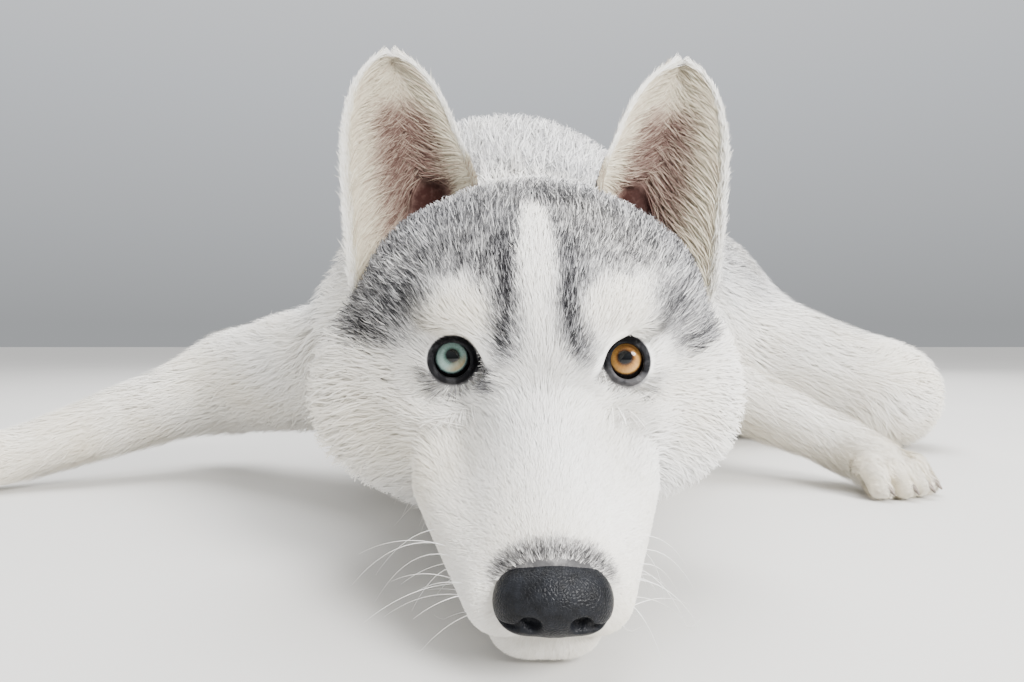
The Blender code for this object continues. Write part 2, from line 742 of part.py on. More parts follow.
def make_tail():
    """The brush: a slim core and rings of locks that lie towards the tip."""
    rng = random.Random(SEED + 2)
    steps = 7
    line = tail_line(steps)
    shares = [i / steps for i in range(steps + 1)]
    radii = [TAIL_CORE * (0.95 + 0.25 * math.sin(math.pi * t) - 0.45 * t**4) for t in shares]
    tail = curved_rod("tail", [line[0] - Vector((0.02, 0.05, -0.02)), *line], [0.026, *radii], 10)
    locks = []
    for i in range(steps):
        ahead = (line[i + 1] - line[i]).normalized()
        frame = ahead.to_track_quat("Z", "Y").to_matrix()
        fullness = 0.70 + 0.30 * math.sin(math.pi * (0.12 + 0.80 * i / steps))
        for k in range(6):
            angle = 2 * math.pi * (k + 0.5 * (i % 2)) / 6 + rng.uniform(-0.12, 0.12)
            normal = frame @ Vector((math.cos(angle), math.sin(angle), 0.0))
            length = 0.092 + rng.uniform(-0.008, 0.008)
            sway = rng.uniform(-0.010, 0.010)
            root = line[i] + normal * radii[i] * 0.85
            locks.append(lock(root, normal, ahead, length, 0.030, 0.021 * fullness, 0.008, sway))
    ahead = (line[-1] - line[-2]).normalized()
    locks.append(lock(line[-1] - ahead * 0.02, Vector((0, 0, 1)), ahead, 0.075, 0.026, 0.002, 0.004))
    return with_locks(tail, locks)


# Colours of the finished pieces: base colour, roughness.
FINISHES = {
    "coat_grey": ((0.42, 0.42, 0.43), 0.85),
    "coat_white": ((0.86, 0.85, 0.82), 0.85),
    "ear": ((0.66, 0.60, 0.52), 0.85),
    "nose_pad": ((0.035, 0.036, 0.045), 0.45),
    "eye_blue": ((0.42, 0.56, 0.56), 0.12),
    "eye_amber": ((0.62, 0.36, 0.11), 0.12),
    "claw": ((0.10, 0.085, 0.075), 0.40),
}


def finish_of(node):
    if node.startswith("claw"):
        return "claw"
    if node.startswith("ear"):
        return "ear"
    return {"nose": "nose_pad", "eye_left": "eye_amber", "eye_right": "eye_blue", "head": "coat_grey"}.get(
        node, "coat_white"
    )


def paint(obj):
    slot = finish_of(obj.name)
    material = bpy.data.materials.get(slot)
    if material is None:
        colour, roughness = FINISHES[slot]
        material = bpy.data.materials.new(slot)
        material.use_nodes = True
        shader = material.node_tree.nodes["Principled BSDF"]
        shader.inputs["Base Color"].default_value = (*colour, 1.0)
        shader.inputs["Roughness"].default_value = roughness
    obj.data.materials.clear()
    obj.data.materials.append(material)
    obj.data.shade_smooth()
    obj.data.set_sharp_from_angle(angle=math.radians(45))


HEAD_CUT = (Vector((-0.006, 0.196, 0.110)), Vector((0.0, 0.93, 0.36)).normalized())
NECK_CUT = (Vector((-0.015, 0.300, 0.150)), Vector((0.05, 0.96, 0.10)).normalized())
FLOOR = (Vector((0, 0, 0)), Vector((0, 0, -1)))


def wrist_cut(side):
    elbow, wrist = (Vector(p) for p in FORELEGS[side][2:4])
    return wrist, (wrist - elbow).normalized()


def make_jaw():
    jaw = add("lower_jaw", skin("lower_jaw", jaw_field, (-0.06, -0.012, -0.03), (0.06, 0.19, 0.10), HEAD_STEP))
    return thin_out(jaw, 300)


def make_nose():
    nose = add("nose", skin("nose", nose_field, (-0.03, -0.006, -0.005), (0.03, 0.045, 0.060), 0.0011))
    return thin_out(nose, 300)


def make_head(jaw, eyes):
    """Skull, cheeks and upper lips back to the neck, with beds for the jaw, the eyes and the nose pad."""
    head = add("head", skin("head", flesh_field, (-0.150, -0.012, -0.020), (0.150, 0.262, 0.240), HEAD_STEP))
    cut_flat(head, HEAD_CUT[0] - HEAD_CUT[1] * GAP / 2, HEAD_CUT[1])
    keep_largest(head)
    spots = [(HEAD @ Vector((EYE.x * sign, EYE.y - 0.010, EYE.z)), 0.030) for sign in (-1, 1)]
    spots.append((HEAD @ Vector((0, 0.020, -0.010)), 0.028))
    thin_out(head, 1900, spots)
    with_locks(head, ruff_of_head(head))
    bed = add("bed", skin("bed", nose_socket_field, (-0.03, -0.006, -0.005), (0.03, 0.045, 0.060), 0.0014))
    thin_out(bed, 260)
    for cutter in (bed, grown(jaw, GAP), *(grown(eye, GAP) for eye in eyes)):
        combined(head, [cutter], "DIFFERENCE")
        keep_largest(head)
    return head


def make_feet():
    """The four paws, drawn on a finer grid, each cut flat on the floor."""
    feet = {}
    for side in ("left", "right"):
        wrist, away = wrist_cut(side)
        knuckles = Vector(FORELEGS[side][4])
        low = [min(wrist[i], knuckles[i]) - 0.075 for i in range(3)]
        high = [max(wrist[i], knuckles[i]) + 0.075 for i in range(3)]
        name = f"forepaw_{side}"
        foot = add(name, skin(name, lambda p, s=side: foreleg_field(p, s), low, high, FOOT_STEP))
        cut_flat(foot, wrist + away * GAP / 2, -away)
        keep_largest(foot)
        feet[name] = thin_out(foot, 360)
        _, _, hock, knuckles = (Vector(p) for p in HIND_LEGS[side])
        low = [min(hock[i], knuckles[i]) - 0.075 for i in range(3)]
        high = [max(hock[i], knuckles[i]) + 0.075 for i in range(3)]
        name = f"hind_foot_{side}"
        foot = add(name, skin(name, lambda p, s=side: hind_foot_field(p, s), low, high, FOOT_STEP))
        keep_largest(foot)
        feet[name] = thin_out(foot, 400)
    return feet


def parted(obj, name, point, normal):
    """Cuts the object on a plane; the side that the normal points to becomes a piece of its own."""
    normal = Vector(normal).normalized()
    piece = add(name, obj.data.copy())
    cut_flat(piece, Vector(point) + normal * GAP / 2, -normal)
    cut_flat(obj, Vector(point) - normal * GAP / 2, normal)
    keep_largest(obj)
    return keep_largest(piece)


def scooped(obj, name, centre, along, radii):
    """Parts off what lies inside a ball or rod-shaped cutter, and leaves the gap round it."""
    piece = add(name, obj.data.copy())
    across = Vector(along).to_track_quat("Z", "Y").to_matrix().to_4x4()
    for target, operation, more in ((piece, "INTERSECT", 0.0), (obj, "DIFFERENCE", GAP)):
        bpy.ops.mesh.primitive_uv_sphere_add(segments=20, ring_count=12, radius=1.0)
        cutter = bpy.context.object
        size = Matrix.Diagonal((radii[0] + more, radii[0] + more, radii[1] + more, 1.0))
        cutter.data.transform(Matrix.Translation(Vector(centre)) @ across @ size)
        combined(target, [cutter], operation)
        keep_largest(target)
    return piece


def make_body():
    """Neck, trunk and legs to the wrists: one skin, then thin cuts."""
    low, high = (-0.480, 0.060, -0.030), (0.520, 0.960, 0.345)
    body = add("body", skin("body", flesh_field, low, high, BODY_STEP))
    cut_flat(body, HEAD_CUT[0] + HEAD_CUT[1] * GAP / 2, -HEAD_CUT[1])
    keep_largest(body)
    thin_out(body, 2900)
    waist = Vector(SPINE[3][:3]).lerp(Vector(SPINE[4][:3]), 0.62)
    chest = parted(body, "chest", *NECK_CUT)
    body.name = "neck"
    made = {"neck": body, "chest": chest}
    made["loin"] = loin = parted(chest, "loin", waist, (0.555, 0.832, 0.0))
    for side in ("left", "right"):
        elbow, wrist = (Vector(p) for p in FORELEGS[side][2:4])
        middle = elbow.lerp(wrist, 0.22)
        forearm = scooped(chest, f"arm_{side}", elbow.lerp(wrist, 0.40), wrist - elbow, (0.085, 0.150))
        upper_arm = forearm
        forearm = parted(upper_arm, f"forearm_{side}", middle, wrist - elbow)
        cut_flat(forearm, wrist - wrist_cut(side)[1] * GAP / 2, wrist_cut(side)[1])
        upper_arm.name = f"upper_arm_{side}"
        made[upper_arm.name] = upper_arm
        made[forearm.name] = keep_largest(forearm)
        hip, knee, _, _ = (Vector(p) for p in HIND_LEGS[side])
        thigh = scooped(loin, f"thigh_{side}", hip.lerp(knee, 0.72), knee - hip, (0.105, 0.150))
        made[thigh.name] = thigh
    return made


def main():
    for obj in list(bpy.data.objects):
        bpy.data.objects.remove(obj)
    nodes = make_body()
    eyes = [make_eye(side) for side in ("left", "right")]
    jaw = make_jaw()
    head = make_head(jaw, eyes)
    for obj in (head, jaw, make_nose(), *eyes):
        nodes[obj.name] = obj
    nodes.update(make_feet())
    with_locks(nodes["neck"], ruff_of_neck(nodes["neck"]))
    for side in ("left", "right"):
        ear = make_ear(side)
        nodes[ear.name] = clear_of(ear, [head, nodes["neck"]])
        thigh = nodes[f"thigh_{side}"]
        clear_of(nodes[f"hind_foot_{side}"], [thigh, nodes["loin"]])
    nodes["tail"] = clear_of(make_tail(), [nodes["loin"]])
    for side in ("left", "right"):
        feet = (
            ("fore", f"forepaw_{side}", *FORELEGS[side][3:]),
            ("hind", f"hind_foot_{side}", *HIND_LEGS[side][2:]),
        )
        for pair, foot, wrist, knuckles in feet:
            for number, (root, ahead) in enumerate(claw_roots(wrist, knuckles, TOE_SPREAD)):
                claw = make_claw(f"claw_{pair}_{side}_{number + 1}", root, ahead, 0.0125, 0.0033)
                nodes[claw.name] = clear_of(claw, [nodes[foot]])
    corners = [obj.matrix_world @ v.co for obj in nodes.values() for v in obj.data.vertices]
    low = [min(c[i] for c in corners) for i in range(3)]
    high = [max(c[i] for c in corners) for i in range(3)]
    middle = Vector(((low[0] + high[0]) / 2, (low[1] + high[1]) / 2, 0.0))
    for name, obj in nodes.items():
        obj.name = name
        obj.data.transform(Matrix.Translation(-middle))
        paint(obj)


main()
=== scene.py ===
"""The husky's looks: skin, coat, ears, eyes, nose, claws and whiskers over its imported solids, and its stage.

Everything is worked out in metres in the layout of the model's source, round the nose tip, and is then moved
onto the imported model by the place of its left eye.
"""

import math

import bmesh
import bpy
import numpy as np
from bpy.props import FloatProperty, FloatVectorProperty, IntProperty, PointerProperty
from mathutils import Matrix, Vector


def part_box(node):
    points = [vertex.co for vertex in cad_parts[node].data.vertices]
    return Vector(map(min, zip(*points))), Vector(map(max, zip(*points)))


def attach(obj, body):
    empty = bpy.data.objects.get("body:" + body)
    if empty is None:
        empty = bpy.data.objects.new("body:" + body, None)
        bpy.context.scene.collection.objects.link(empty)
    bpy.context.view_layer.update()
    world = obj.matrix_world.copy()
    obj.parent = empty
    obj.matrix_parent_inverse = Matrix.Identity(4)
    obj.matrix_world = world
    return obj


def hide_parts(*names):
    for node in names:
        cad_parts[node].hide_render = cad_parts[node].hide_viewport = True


bl_info = {
    "name": "Lying Siberian Husky",
    "version": (1, 0, 0),
    "blender": (4, 5, 0),
    "location": "View3D > Sidebar > Husky",
    "description": "Builds the skin, coat, face and studio stage of a life-size husky",
    "category": "Object",
}

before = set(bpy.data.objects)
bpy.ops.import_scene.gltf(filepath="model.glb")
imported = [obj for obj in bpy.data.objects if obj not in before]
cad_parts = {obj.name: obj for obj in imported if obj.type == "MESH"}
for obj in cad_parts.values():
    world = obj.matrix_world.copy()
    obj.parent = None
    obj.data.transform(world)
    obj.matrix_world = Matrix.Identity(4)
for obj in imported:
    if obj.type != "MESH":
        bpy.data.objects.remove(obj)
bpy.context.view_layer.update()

# Head, in its own frame: nose tip at the origin, +Y towards the neck, +Z up.
NOSE_TIP = Vector((0.0, 0.0, 0.034))
HEAD_PITCH, HEAD_YAW, HEAD_ROLL = math.radians(20.0), math.radians(2.3), math.radians(1.0)
EYE = Vector((0.0345, 0.1085, 0.0395))
EYE_RADIUS = 0.0112
# Where each eye sits, folded over to the left: 1 is the left eye and -1 the right one.
EYES = {1.0: EYE + Vector((0.0020, 0.0, -0.0018)), -1.0: EYE + Vector((0.0012, 0.0, -0.0025))}
# The way each eye's lids open, and half the width and height of their opening.
LIDS = {1.0: ((-0.145, -0.940, 0.280), 0.0064, 0.0073), -1.0: ((-0.021, -0.955, 0.290), 0.0071, 0.0069)}
LID_LINE = (0.985, 0.0, 0.174)  # from the inner corner to the outer one
LID_MIDDLE, LID_HALF = 0.0018, 0.0014  # the lids' middle off the eyeball, and half their thickness
SOCKET_DEPTH, SOCKET_RADII = 0.012, (0.0150, 0.011, 0.0115)  # the hollow in front of the eyes
NOSE_MIDDLE, NOSE_RADII = (0.0, 0.0125, -0.0075), (0.0170, 0.0125, 0.0125)  # the bare pad
EAR_ROOT = Vector((0.0570, 0.128, 0.128))
EAR_TIP = Vector((0.0700, 0.139, 0.2160))
EAR_BASE_SIDE = Vector((0.029, 0.004, -0.024))
EAR_FACE = (0.20, -0.97, 0.10)  # the way the left ear's cup opens
EAR_CUP = 0.025
EAR_ENDS, EAR_WIDTH = (-0.30, 0.975), 0.97  # what the shell takes of the ear's height and of half its width
EAR_FRONT, EAR_REAR = 0.0012, 0.0030  # how far behind the cup's own line its two sides lie
EAR_HAIRS = {"inner": 13000, "outer": 11000}
EAR_HAIR_WIDTH = 0.00045
CAMERA_PLACE = Vector((-0.014, -0.243, 0.1135))
CAMERA_LENS = 28.125
# Studio lamps: place, what they aim at, width, power and colour.
LAMPS = {
    "key": ((1.2, -2.0, 1.25), (0.0, -0.2, 0.10), 1.0, 150.0, (1.0, 0.99, 0.97)),
    "fill": ((-1.6, -1.3, 0.8), (0.0, -0.2, 0.10), 1.4, 6.0, (1.0, 0.98, 0.92)),
    "top": ((0.2, 0.3, 2.1), (0.0, 0.0, 0.10), 1.8, 80.0, (0.98, 0.99, 1.0)),
    "rear": ((0.5, 2.2, 1.2), (0.0, 0.1, 0.15), 1.4, 36.0, (1.0, 1.0, 1.0)),
}
SKY = ((0.02, (0.30, 0.31, 0.32)), (0.30, (0.55, 0.57, 0.60)), (0.75, (1.0, 1.0, 1.0)))  # from low to high
SKY_STRENGTH = 1.3

# Spine stations: x, y, z of the back's axis, its radius, z of the underline's axis, its radius.
SPINE = (
    (-0.004, 0.165, 0.112, 0.070, 0.090, 0.066),
    (-0.012, 0.270, 0.140, 0.090, 0.104, 0.084),
    (-0.019, 0.390, 0.168, 0.117, 0.098, 0.106),
    (0.036, 0.512, 0.164, 0.115, 0.096, 0.108),
    (0.112, 0.632, 0.156, 0.104, 0.088, 0.096),
    (0.194, 0.735, 0.150, 0.103, 0.088, 0.094),
    (0.246, 0.805, 0.120, 0.078, 0.082, 0.072),
)
# Forelegs: top of the shoulder blade, shoulder, elbow, wrist and knuckles.
FORELEGS = {
    "left": (
        (0.050, 0.400, 0.190),
        (0.050, 0.335, 0.140),
        (0.116, 0.455, 0.094),
        (0.244, 0.388, 0.0330),
        (0.260, 0.358, 0.0200),
    ),
    "right": (
        (-0.082, 0.410, 0.185),
        (-0.103, 0.345, 0.103),
        (-0.257, 0.462, 0.078),
        (-0.398, 0.367, 0.0240),
        (-0.434, 0.344, 0.0190),
    ),
}
# Hind legs: hip, knee, hock and knuckles.
HIND_LEGS = {
    "left": ((0.222, 0.716, 0.108), (0.386, 0.620, 0.056), (0.378, 0.796, 0.0300), (0.437, 0.722, 0.0200)),
    "right": ((0.150, 0.772, 0.114), (0.040, 0.722, 0.060), (0.076, 0.872, 0.0300), (0.003, 0.806, 0.0200)),
}
TAIL = (
    (0.250, 0.815, 0.125),
    (0.288, 0.890, 0.080),
    (0.300, 0.965, 0.050),
    (0.288, 1.035, 0.043),
    (0.252, 1.092, 0.041),
)
TAIL_CORE = 0.0325
TOES = (-1.5, -0.5, 0.5, 1.5)  # places of the toes across a foot, in steps of their spread
TOE_SPREAD = 0.0155
TOE_LENGTH = 0.030
CLAW_LENGTH, CLAW_RADIUS = 0.0148, 0.0028

# Length of the hair at each point of the spine, the legs and the tail.
SPINE_HAIR = (0.036, 0.042, 0.036, 0.033, 0.033, 0.035, 0.040)
FORELEG_HAIR = (0.034, 0.032, 0.024, 0.013, 0.0085, 0.0065)
HIND_LEG_HAIR = (0.036, 0.028, 0.018, 0.010, 0.0070)
TAIL_HAIR = (0.050, 0.066, 0.078, 0.076, 0.064)
COAT_DEPTH = 0.27  # depth of the coat as a share of its hairs' length
HAIR_WIDTHS = ((0.003, 0.00027), (0.008, 0.00034), (0.020, 0.00055), (0.035, 0.00085), (0.070, 0.0008))
PIECE_LIMIT = 195000  # triangles in one piece of the coat
NECK_SEAM = 0.215  # the fine skin of the head ends here, under the ruff
NECK_LAP = 0.012  # how far the body's skin reaches on under the head's
FLOOR_GAP = 0.0005  # height of the skin's underside
HAIR_GAP = 0.0006  # height of the lowest hairs
PART_BLEND = 0.010  # how far the hair of one part of the body mixes with its neighbour's

SIDES = {"left": 1.0, "right": -1.0}


def turned_head(*turns):
    """The place of the nose tip, turned by the given angles about the given axes."""
    place = Matrix.Translation(NOSE_TIP)
    for angle, axis in turns:
        place = place @ Matrix.Rotation(angle, 4, axis)
    return place


HEAD = turned_head((HEAD_YAW, "Z"), (HEAD_PITCH, "X"), (HEAD_ROLL, "Y"))
UPRIGHT = turned_head((HEAD_YAW, "Z"), (HEAD_ROLL, "Y"))  # the ears' own frame
HEAD_TURN = np.array(HEAD)[:3, :3]
TO_HEAD = np.array(HEAD.inverted())
_low, _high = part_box("eye_left")
SHIFT = (_low + _high) / 2 - HEAD @ EYE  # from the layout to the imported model


# Shapes as distances: negative inside, and blended so that forms flow into each other.


def ball(points, centre, radii):
    """Distance to an ellipsoid."""
    away = points - np.asarray(centre)
    scaled = np.sqrt(((away / radii) ** 2).sum(1)) + 1e-9
    slope = np.sqrt(((away / np.square(radii)) ** 2).sum(1)) + 1e-9
    return scaled * (scaled - 1.0) / slope


def limb(points, start, end, start_radius, end_radius, flat=(1.0, 1.0, 1.0)):
    """Distance to a tapered rod with round ends; flat squeezes its cross-section."""
    flat = np.asarray(flat)
    p = (points - np.asarray(start)) / flat
    axis = (np.asarray(end) - np.asarray(start)) / flat
    along = np.clip((p @ axis) / (axis @ axis), 0.0, 1.0)
    away = np.sqrt(((p - along[:, None] * axis) ** 2).sum(1))
    return (away - (start_radius + (end_radius - start_radius) * along)) * flat.min()


def merge(first, second, softness):
    """Union of two shapes with a rounded valley between them."""
    share = np.clip(0.5 + 0.5 * (second - first) / softness, 0.0, 1.0)
    return second + (first - second) * share - softness * share * (1.0 - share)


def carve(field, cutter, softness):
    """Takes the cutter out of the shape with a rounded edge."""
    return -merge(-field, cutter, softness)


def eased(low, high, value):
    """0 below low, 1 above high, and smooth between; low may be the larger one."""
    share = np.clip((value - low) / (high - low), 0.0, 1.0)
    return share * share * (3.0 - 2.0 * share)


def in_head(points):
    """The points in the head's own frame."""
    return points @ TO_HEAD[:3, :3].T + TO_HEAD[:3, 3]


def folded(p):
    """Points of the head's frame, all folded over to its left side."""
    return np.stack((np.abs(p[:, 0]), p[:, 1], p[:, 2]), 1)


def from_eye(p):
    """Points of the head's frame, seen from the eye on their side and folded over to the left."""
    return folded(p) - np.where(p[:, :1] > 0.0, np.array(EYES[1.0]), np.array(EYES[-1.0]))


def smoothed(stations, steps):
    """More stations, on a smooth line through the given ones."""
    knots = np.array(stations, float)
    line = []
    for i in range(len(knots) - 1):
        a, b, c, d = (knots[min(max(i + j, 0), len(knots) - 1)] for j in (-1, 0, 1, 2))
        for t in np.arange(steps) / steps:
            line.append(
                0.5 * (2 * b + (c - a) * t + (2 * a - 5 * b + 4 * c - d) * t**2 + (3 * b - a - 3 * c + d) * t**3)
            )
    return np.array([*line, knots[-1]])


# The head's forms in its own frame, folded over to the left: measures of a ball or rod, and how softly it joins.
SKULL = ((0.0, 0.156, 0.049), (0.067, 0.068, 0.054))
HEAD_FORMS = {
    "forehead": (ball, ((0.0, 0.124, 0.046), (0.052, 0.048, 0.043)), 0.020),
    "temple": (ball, ((0.048, 0.152, 0.040), (0.030, 0.042, 0.040)), 0.020),
    "muzzle": (limb, ((0.0, 0.034, -0.008), (0.0, 0.110, 0.002), 0.0240, 0.033, (1.12, 1.0, 0.90)), 0.012),
    "nose bridge": (limb, ((0.0, 0.022, -0.0055), (0.0, 0.096, 0.023), 0.0140, 0.0195), 0.010),
    "upper lip": (limb, ((0.0165, 0.025, -0.0170), (0.034, 0.092, -0.011), 0.0128, 0.0180), 0.008),
    "cheekbone": (limb, ((0.041, 0.112, 0.012), (0.060, 0.158, 0.020), 0.016, 0.026), 0.018),
    "cheek": (ball, ((0.061, 0.160, -0.003), (0.042, 0.040, 0.047)), 0.022),
    "throat": (ball, ((0.0, 0.158, -0.012), (0.070, 0.060, 0.041)), 0.024),
    "brow": (ball, ((0.0285, 0.1035, 0.0600), (0.020, 0.015, 0.0125)), 0.010),
}


def head_form(p):
    """Skull, muzzle, cheeks and ruff, from folded points of the head's frame."""
    field = ball(p, *SKULL)
    for form, measures, softness in HEAD_FORMS.values():
        field = merge(field, form(p, *measures), softness)
    gaze = np.array((0.02, -0.995, 0.04))
    return carve(field, ball(p, np.array(EYE) + gaze * SOCKET_DEPTH, SOCKET_RADII), 0.008)


def lid_opening(p):
    """Distance outside the rounded almond that the lids leave open, from points of the head's frame."""
    q = from_eye(p)
    edges = {}
    for sign, (gaze, wide, tall) in LIDS.items():
        gaze = np.array(gaze) / np.linalg.norm(gaze)
        aside = np.array(LID_LINE)
        aside -= gaze * (aside @ gaze)
        aside /= np.linalg.norm(aside)
        ahead = q @ gaze
        flare = 1.0 + 22.0 * np.maximum(ahead - 0.0100, 0.0)  # the opening widens in front of the eyeball
        a, b = q @ aside / (wide * flare), q @ np.cross(gaze, aside) / (tall * flare)
        edge = (np.sqrt(a * a + b * b) - 1.0) * flare * min(wide, tall)
        edges[sign] = np.where(ahead > 0.0, edge, 0.02)
    return np.where(p[:, 0] > 0.0, edges[1.0], edges[-1.0])


def with_lids(field, p):
    """Closes the lids round the eyeball and opens them in front of it."""
    away = np.linalg.norm(from_eye(p), axis=1)
    field = merge(field, np.abs(away - EYE_RADIUS - LID_MIDDLE) - LID_HALF, 0.0045)
    field = carve(field, lid_opening(p), 0.0012)
    return np.maximum(field, EYE_RADIUS + 0.0002 - away)


def near_nose(p, radii=NOSE_RADII):
    """Distance to the nose pad's oval, from points of the head's frame."""
    return ball(folded(p), NOSE_MIDDLE, radii)


def jaw_form(p):
    """The lower jaw and its lips, from folded points of the head's frame."""
    field = limb(p, (0.0, 0.034, -0.0330), (0.0, 0.100, -0.034), 0.0145, 0.025, (1.15, 1.0, 0.95))
    return merge(field, limb(p, (0.010, 0.030, -0.0320), (0.026, 0.094, -0.030), 0.010, 0.015), 0.008)


def trunk_form(points, reach=None):
    """Neck, chest, loin and rump."""
    line = smoothed(SPINE, 4)[:reach]
    back = under = None
    for near, far in zip(line, line[1:]):
        upper = limb(points, near[:3], far[:3], near[3], far[3])
        lower = limb(points, near[[0, 1, 4]], far[[0, 1, 4]], near[5], far[5])
        back = upper if back is None else np.minimum(back, upper)
        under = lower if under is None else np.minimum(under, lower)
    return merge(back, under, 0.05)


def toe_line(wrist, knuckles):
    """The way a foot points along the floor, and the way across it."""
    ahead = np.array(knuckles) - np.array(wrist)
    ahead[2] = 0.0
    ahead /= np.linalg.norm(ahead)
    return ahead, np.array((-ahead[1], ahead[0], 0.0))


def toe_reach(place):
    """How far a toe reaches on from the knuckles: the middle ones are longer."""
    return TOE_LENGTH - 0.0045 * abs(place) ** 1.5


def foot_form(points, wrist, knuckles, width):
    """A paw: pad and four arched toes that point on from the knuckles."""
    knuckles = np.array(knuckles)
    ahead, aside = toe_line(wrist, knuckles)
    field = limb(points, wrist, knuckles, 0.0210, width)
    for place in TOES:
        reach = toe_reach(place)
        root = knuckles + aside * place * TOE_SPREAD * 0.72 + ahead * 0.004
        knuckle = knuckles + aside * place * TOE_SPREAD * 0.98 + ahead * reach * 0.62
        knuckle[2] = 0.0195
        tip = knuckles + aside * place * TOE_SPREAD * 1.10 + ahead * reach
        tip[2] = 0.0080
        toe = merge(limb(points, root, knuckle, 0.0120, 0.0102), limb(points, knuckle, tip, 0.0102, 0.0095), 0.004)
        field = merge(field, toe, 0.0028)
    return field


def foreleg_form(points, side, with_foot=True):
    """Shoulder and foreleg, or the shoulder alone."""
    blade, shoulder, elbow, wrist, knuckles = FORELEGS[side]
    field = merge(limb(points, blade, shoulder, 0.052, 0.056), limb(points, shoulder, elbow, 0.055, 0.044), 0.02)
    if not with_foot:
        return field
    field = merge(field, limb(points, elbow, wrist, 0.037, 0.0205), 0.02)
    return merge(field, foot_form(points, wrist, knuckles, 0.0220), 0.008)


def hind_leg_form(points, side):
    """The thigh with the shank, and the foot."""
    hip, knee, hock, knuckles = HIND_LEGS[side]
    thigh = merge(limb(points, hip, knee, 0.086, 0.055), limb(points, knee, hock, 0.046, 0.026), 0.03)
    instep = np.array(knuckles) * 0.72 + np.array(hock) * 0.28
    foot = merge(limb(points, hock, knuckles, 0.0270, 0.0220), foot_form(points, instep, knuckles, 0.0220), 0.006)
    return thigh, foot


def tail_form(points):
    """The tail's core, thinner towards its tip."""
    line = smoothed(TAIL, 2)
    field = None
    for i, (near, far) in enumerate(zip(line, line[1:])):
        part = limb(points, near, far, TAIL_CORE * (1.0 - 0.03 * i), TAIL_CORE * (0.97 - 0.03 * i))
        field = part if field is None else np.minimum(field, part)
    return field


def along_chain(points, chain, values):
    """Direction of a chain of points beside each point, and the value that the chain's own values give there."""
    chain, values = np.array(chain, float), np.array(values, float)
    beside = []
    for near, far in zip(chain, chain[1:]):
        axis = far - near
        along = np.clip(((points - near) @ axis) / (axis @ axis), 0.0, 1.0)
        away = np.sqrt(((points - near - along[:, None] * axis) ** 2).sum(1))
        beside.append((along, away, axis / np.linalg.norm(axis)))
    nearest = np.min([away for _, away, _ in beside], axis=0)
    total, worth = np.zeros(len(points)), np.zeros(len(points))
    way = np.zeros((len(points), 3))
    for (along, away, axis), start, end in zip(beside, values, values[1:]):
        share = np.exp(-(away - nearest) / PART_BLEND)
        total += share
        way += share[:, None] * axis
        worth += share * (start + (end - start) * along)
    return way / total[:, None], worth / total


def head_hair(p):
    """Length of the hair on the head, from points of its own frame."""
    length = np.interp(
        p[:, 1],
        (0.0, 0.03, 0.07, 0.10, 0.13, 0.17, 0.21),
        (0.0030, 0.0042, 0.0062, 0.0088, 0.0120, 0.0180, 0.0300),
    )
    cheek = eased(0.052, 0.088, np.abs(p[:, 0])) * eased(0.060, 0.010, p[:, 2])
    length = length + (0.017 - 0.006 * eased(0.0, 0.02, p[:, 0])) * cheek
    around_eye = eased(0.026, 0.013, np.linalg.norm(from_eye(p), axis=1))
    return length + (0.0030 - length) * around_eye


def chains():
    """The forelegs, the hind legs and the tail as chains of points, with the length of the hair at each point."""
    made = []
    for legs, lengths in ((FORELEGS, FORELEG_HAIR), (HIND_LEGS, HIND_LEG_HAIR)):
        for side in SIDES:
            heel, knuckles = legs[side][-2:]
            toes = np.array(knuckles) + toe_line(heel, knuckles)[0] * TOE_LENGTH
            made.append(([*legs[side], tuple(toes)], lengths))
    return [*made, (TAIL, TAIL_HAIR)]


def forms(points, near_head=False):
    """The flesh as one shape, and the distance to each of its parts: head, trunk, four legs and tail."""
    folded_head = folded(in_head(points))
    head = head_form(folded_head)
    jaw = jaw_form(folded_head)
    trunk = trunk_form(points, 11 if near_head else None)
    flesh = merge(trunk, head, 0.016)
    far = np.full(len(points), 1.0)
    forelegs = [foreleg_form(points, side, not near_head) for side in SIDES]
    hind = [(far, far) if near_head else hind_leg_form(points, side) for side in SIDES]
    tail = far if near_head else tail_form(points)
    for leg in forelegs:
        flesh = merge(flesh, leg, 0.030)
    for thigh, foot in hind:
        flesh = merge(flesh, thigh, 0.035)
        flesh = merge(flesh, foot, 0.006)
    flesh = merge(merge(flesh, jaw, 0.0025), tail, 0.02)
    parts = (np.minimum(head, jaw), trunk, *forelegs, *(np.minimum(*pair) for pair in hind), tail)
    return flesh, np.stack(parts)


def shares_of(parts):
    """How much each part has a say at each point."""
    shares = np.exp(-(parts - parts.min(0)) / PART_BLEND)
    return shares / shares.sum(0)


def hair_length(points, parts):
    """Length of the hair at each point, mixed from the parts beside it."""
    shares = shares_of(parts)
    length = shares[0] * head_hair(in_head(points))
    length += shares[1] * along_chain(points, [s[:3] for s in SPINE], SPINE_HAIR)[1]
    for share, (chain, values) in zip(shares[2:], chains()):
        if share.max() > 1e-3:
            length += share * along_chain(points, chain, values)[1]
    return length


def bare_skin(points, near_head=False):
    """Distance to the skin under the coat."""
    flesh, parts = forms(points, near_head)
    return flesh + COAT_DEPTH * hair_length(points, parts)


def head_skin(points):
    """The skin of the head with its lids, closed at the neck's seam and on the floor."""
    field = with_lids(bare_skin(points, True), in_head(points))
    return np.maximum(np.maximum(field, points[:, 1] - NECK_SEAM), FLOOR_GAP - points[:, 2])


def body_skin(points):
    """The skin of everything behind the head."""
    field = np.maximum(bare_skin(points), NECK_SEAM - NECK_LAP - points[:, 1])
    return np.maximum(field, FLOOR_GAP - points[:, 2])


# Meshes.


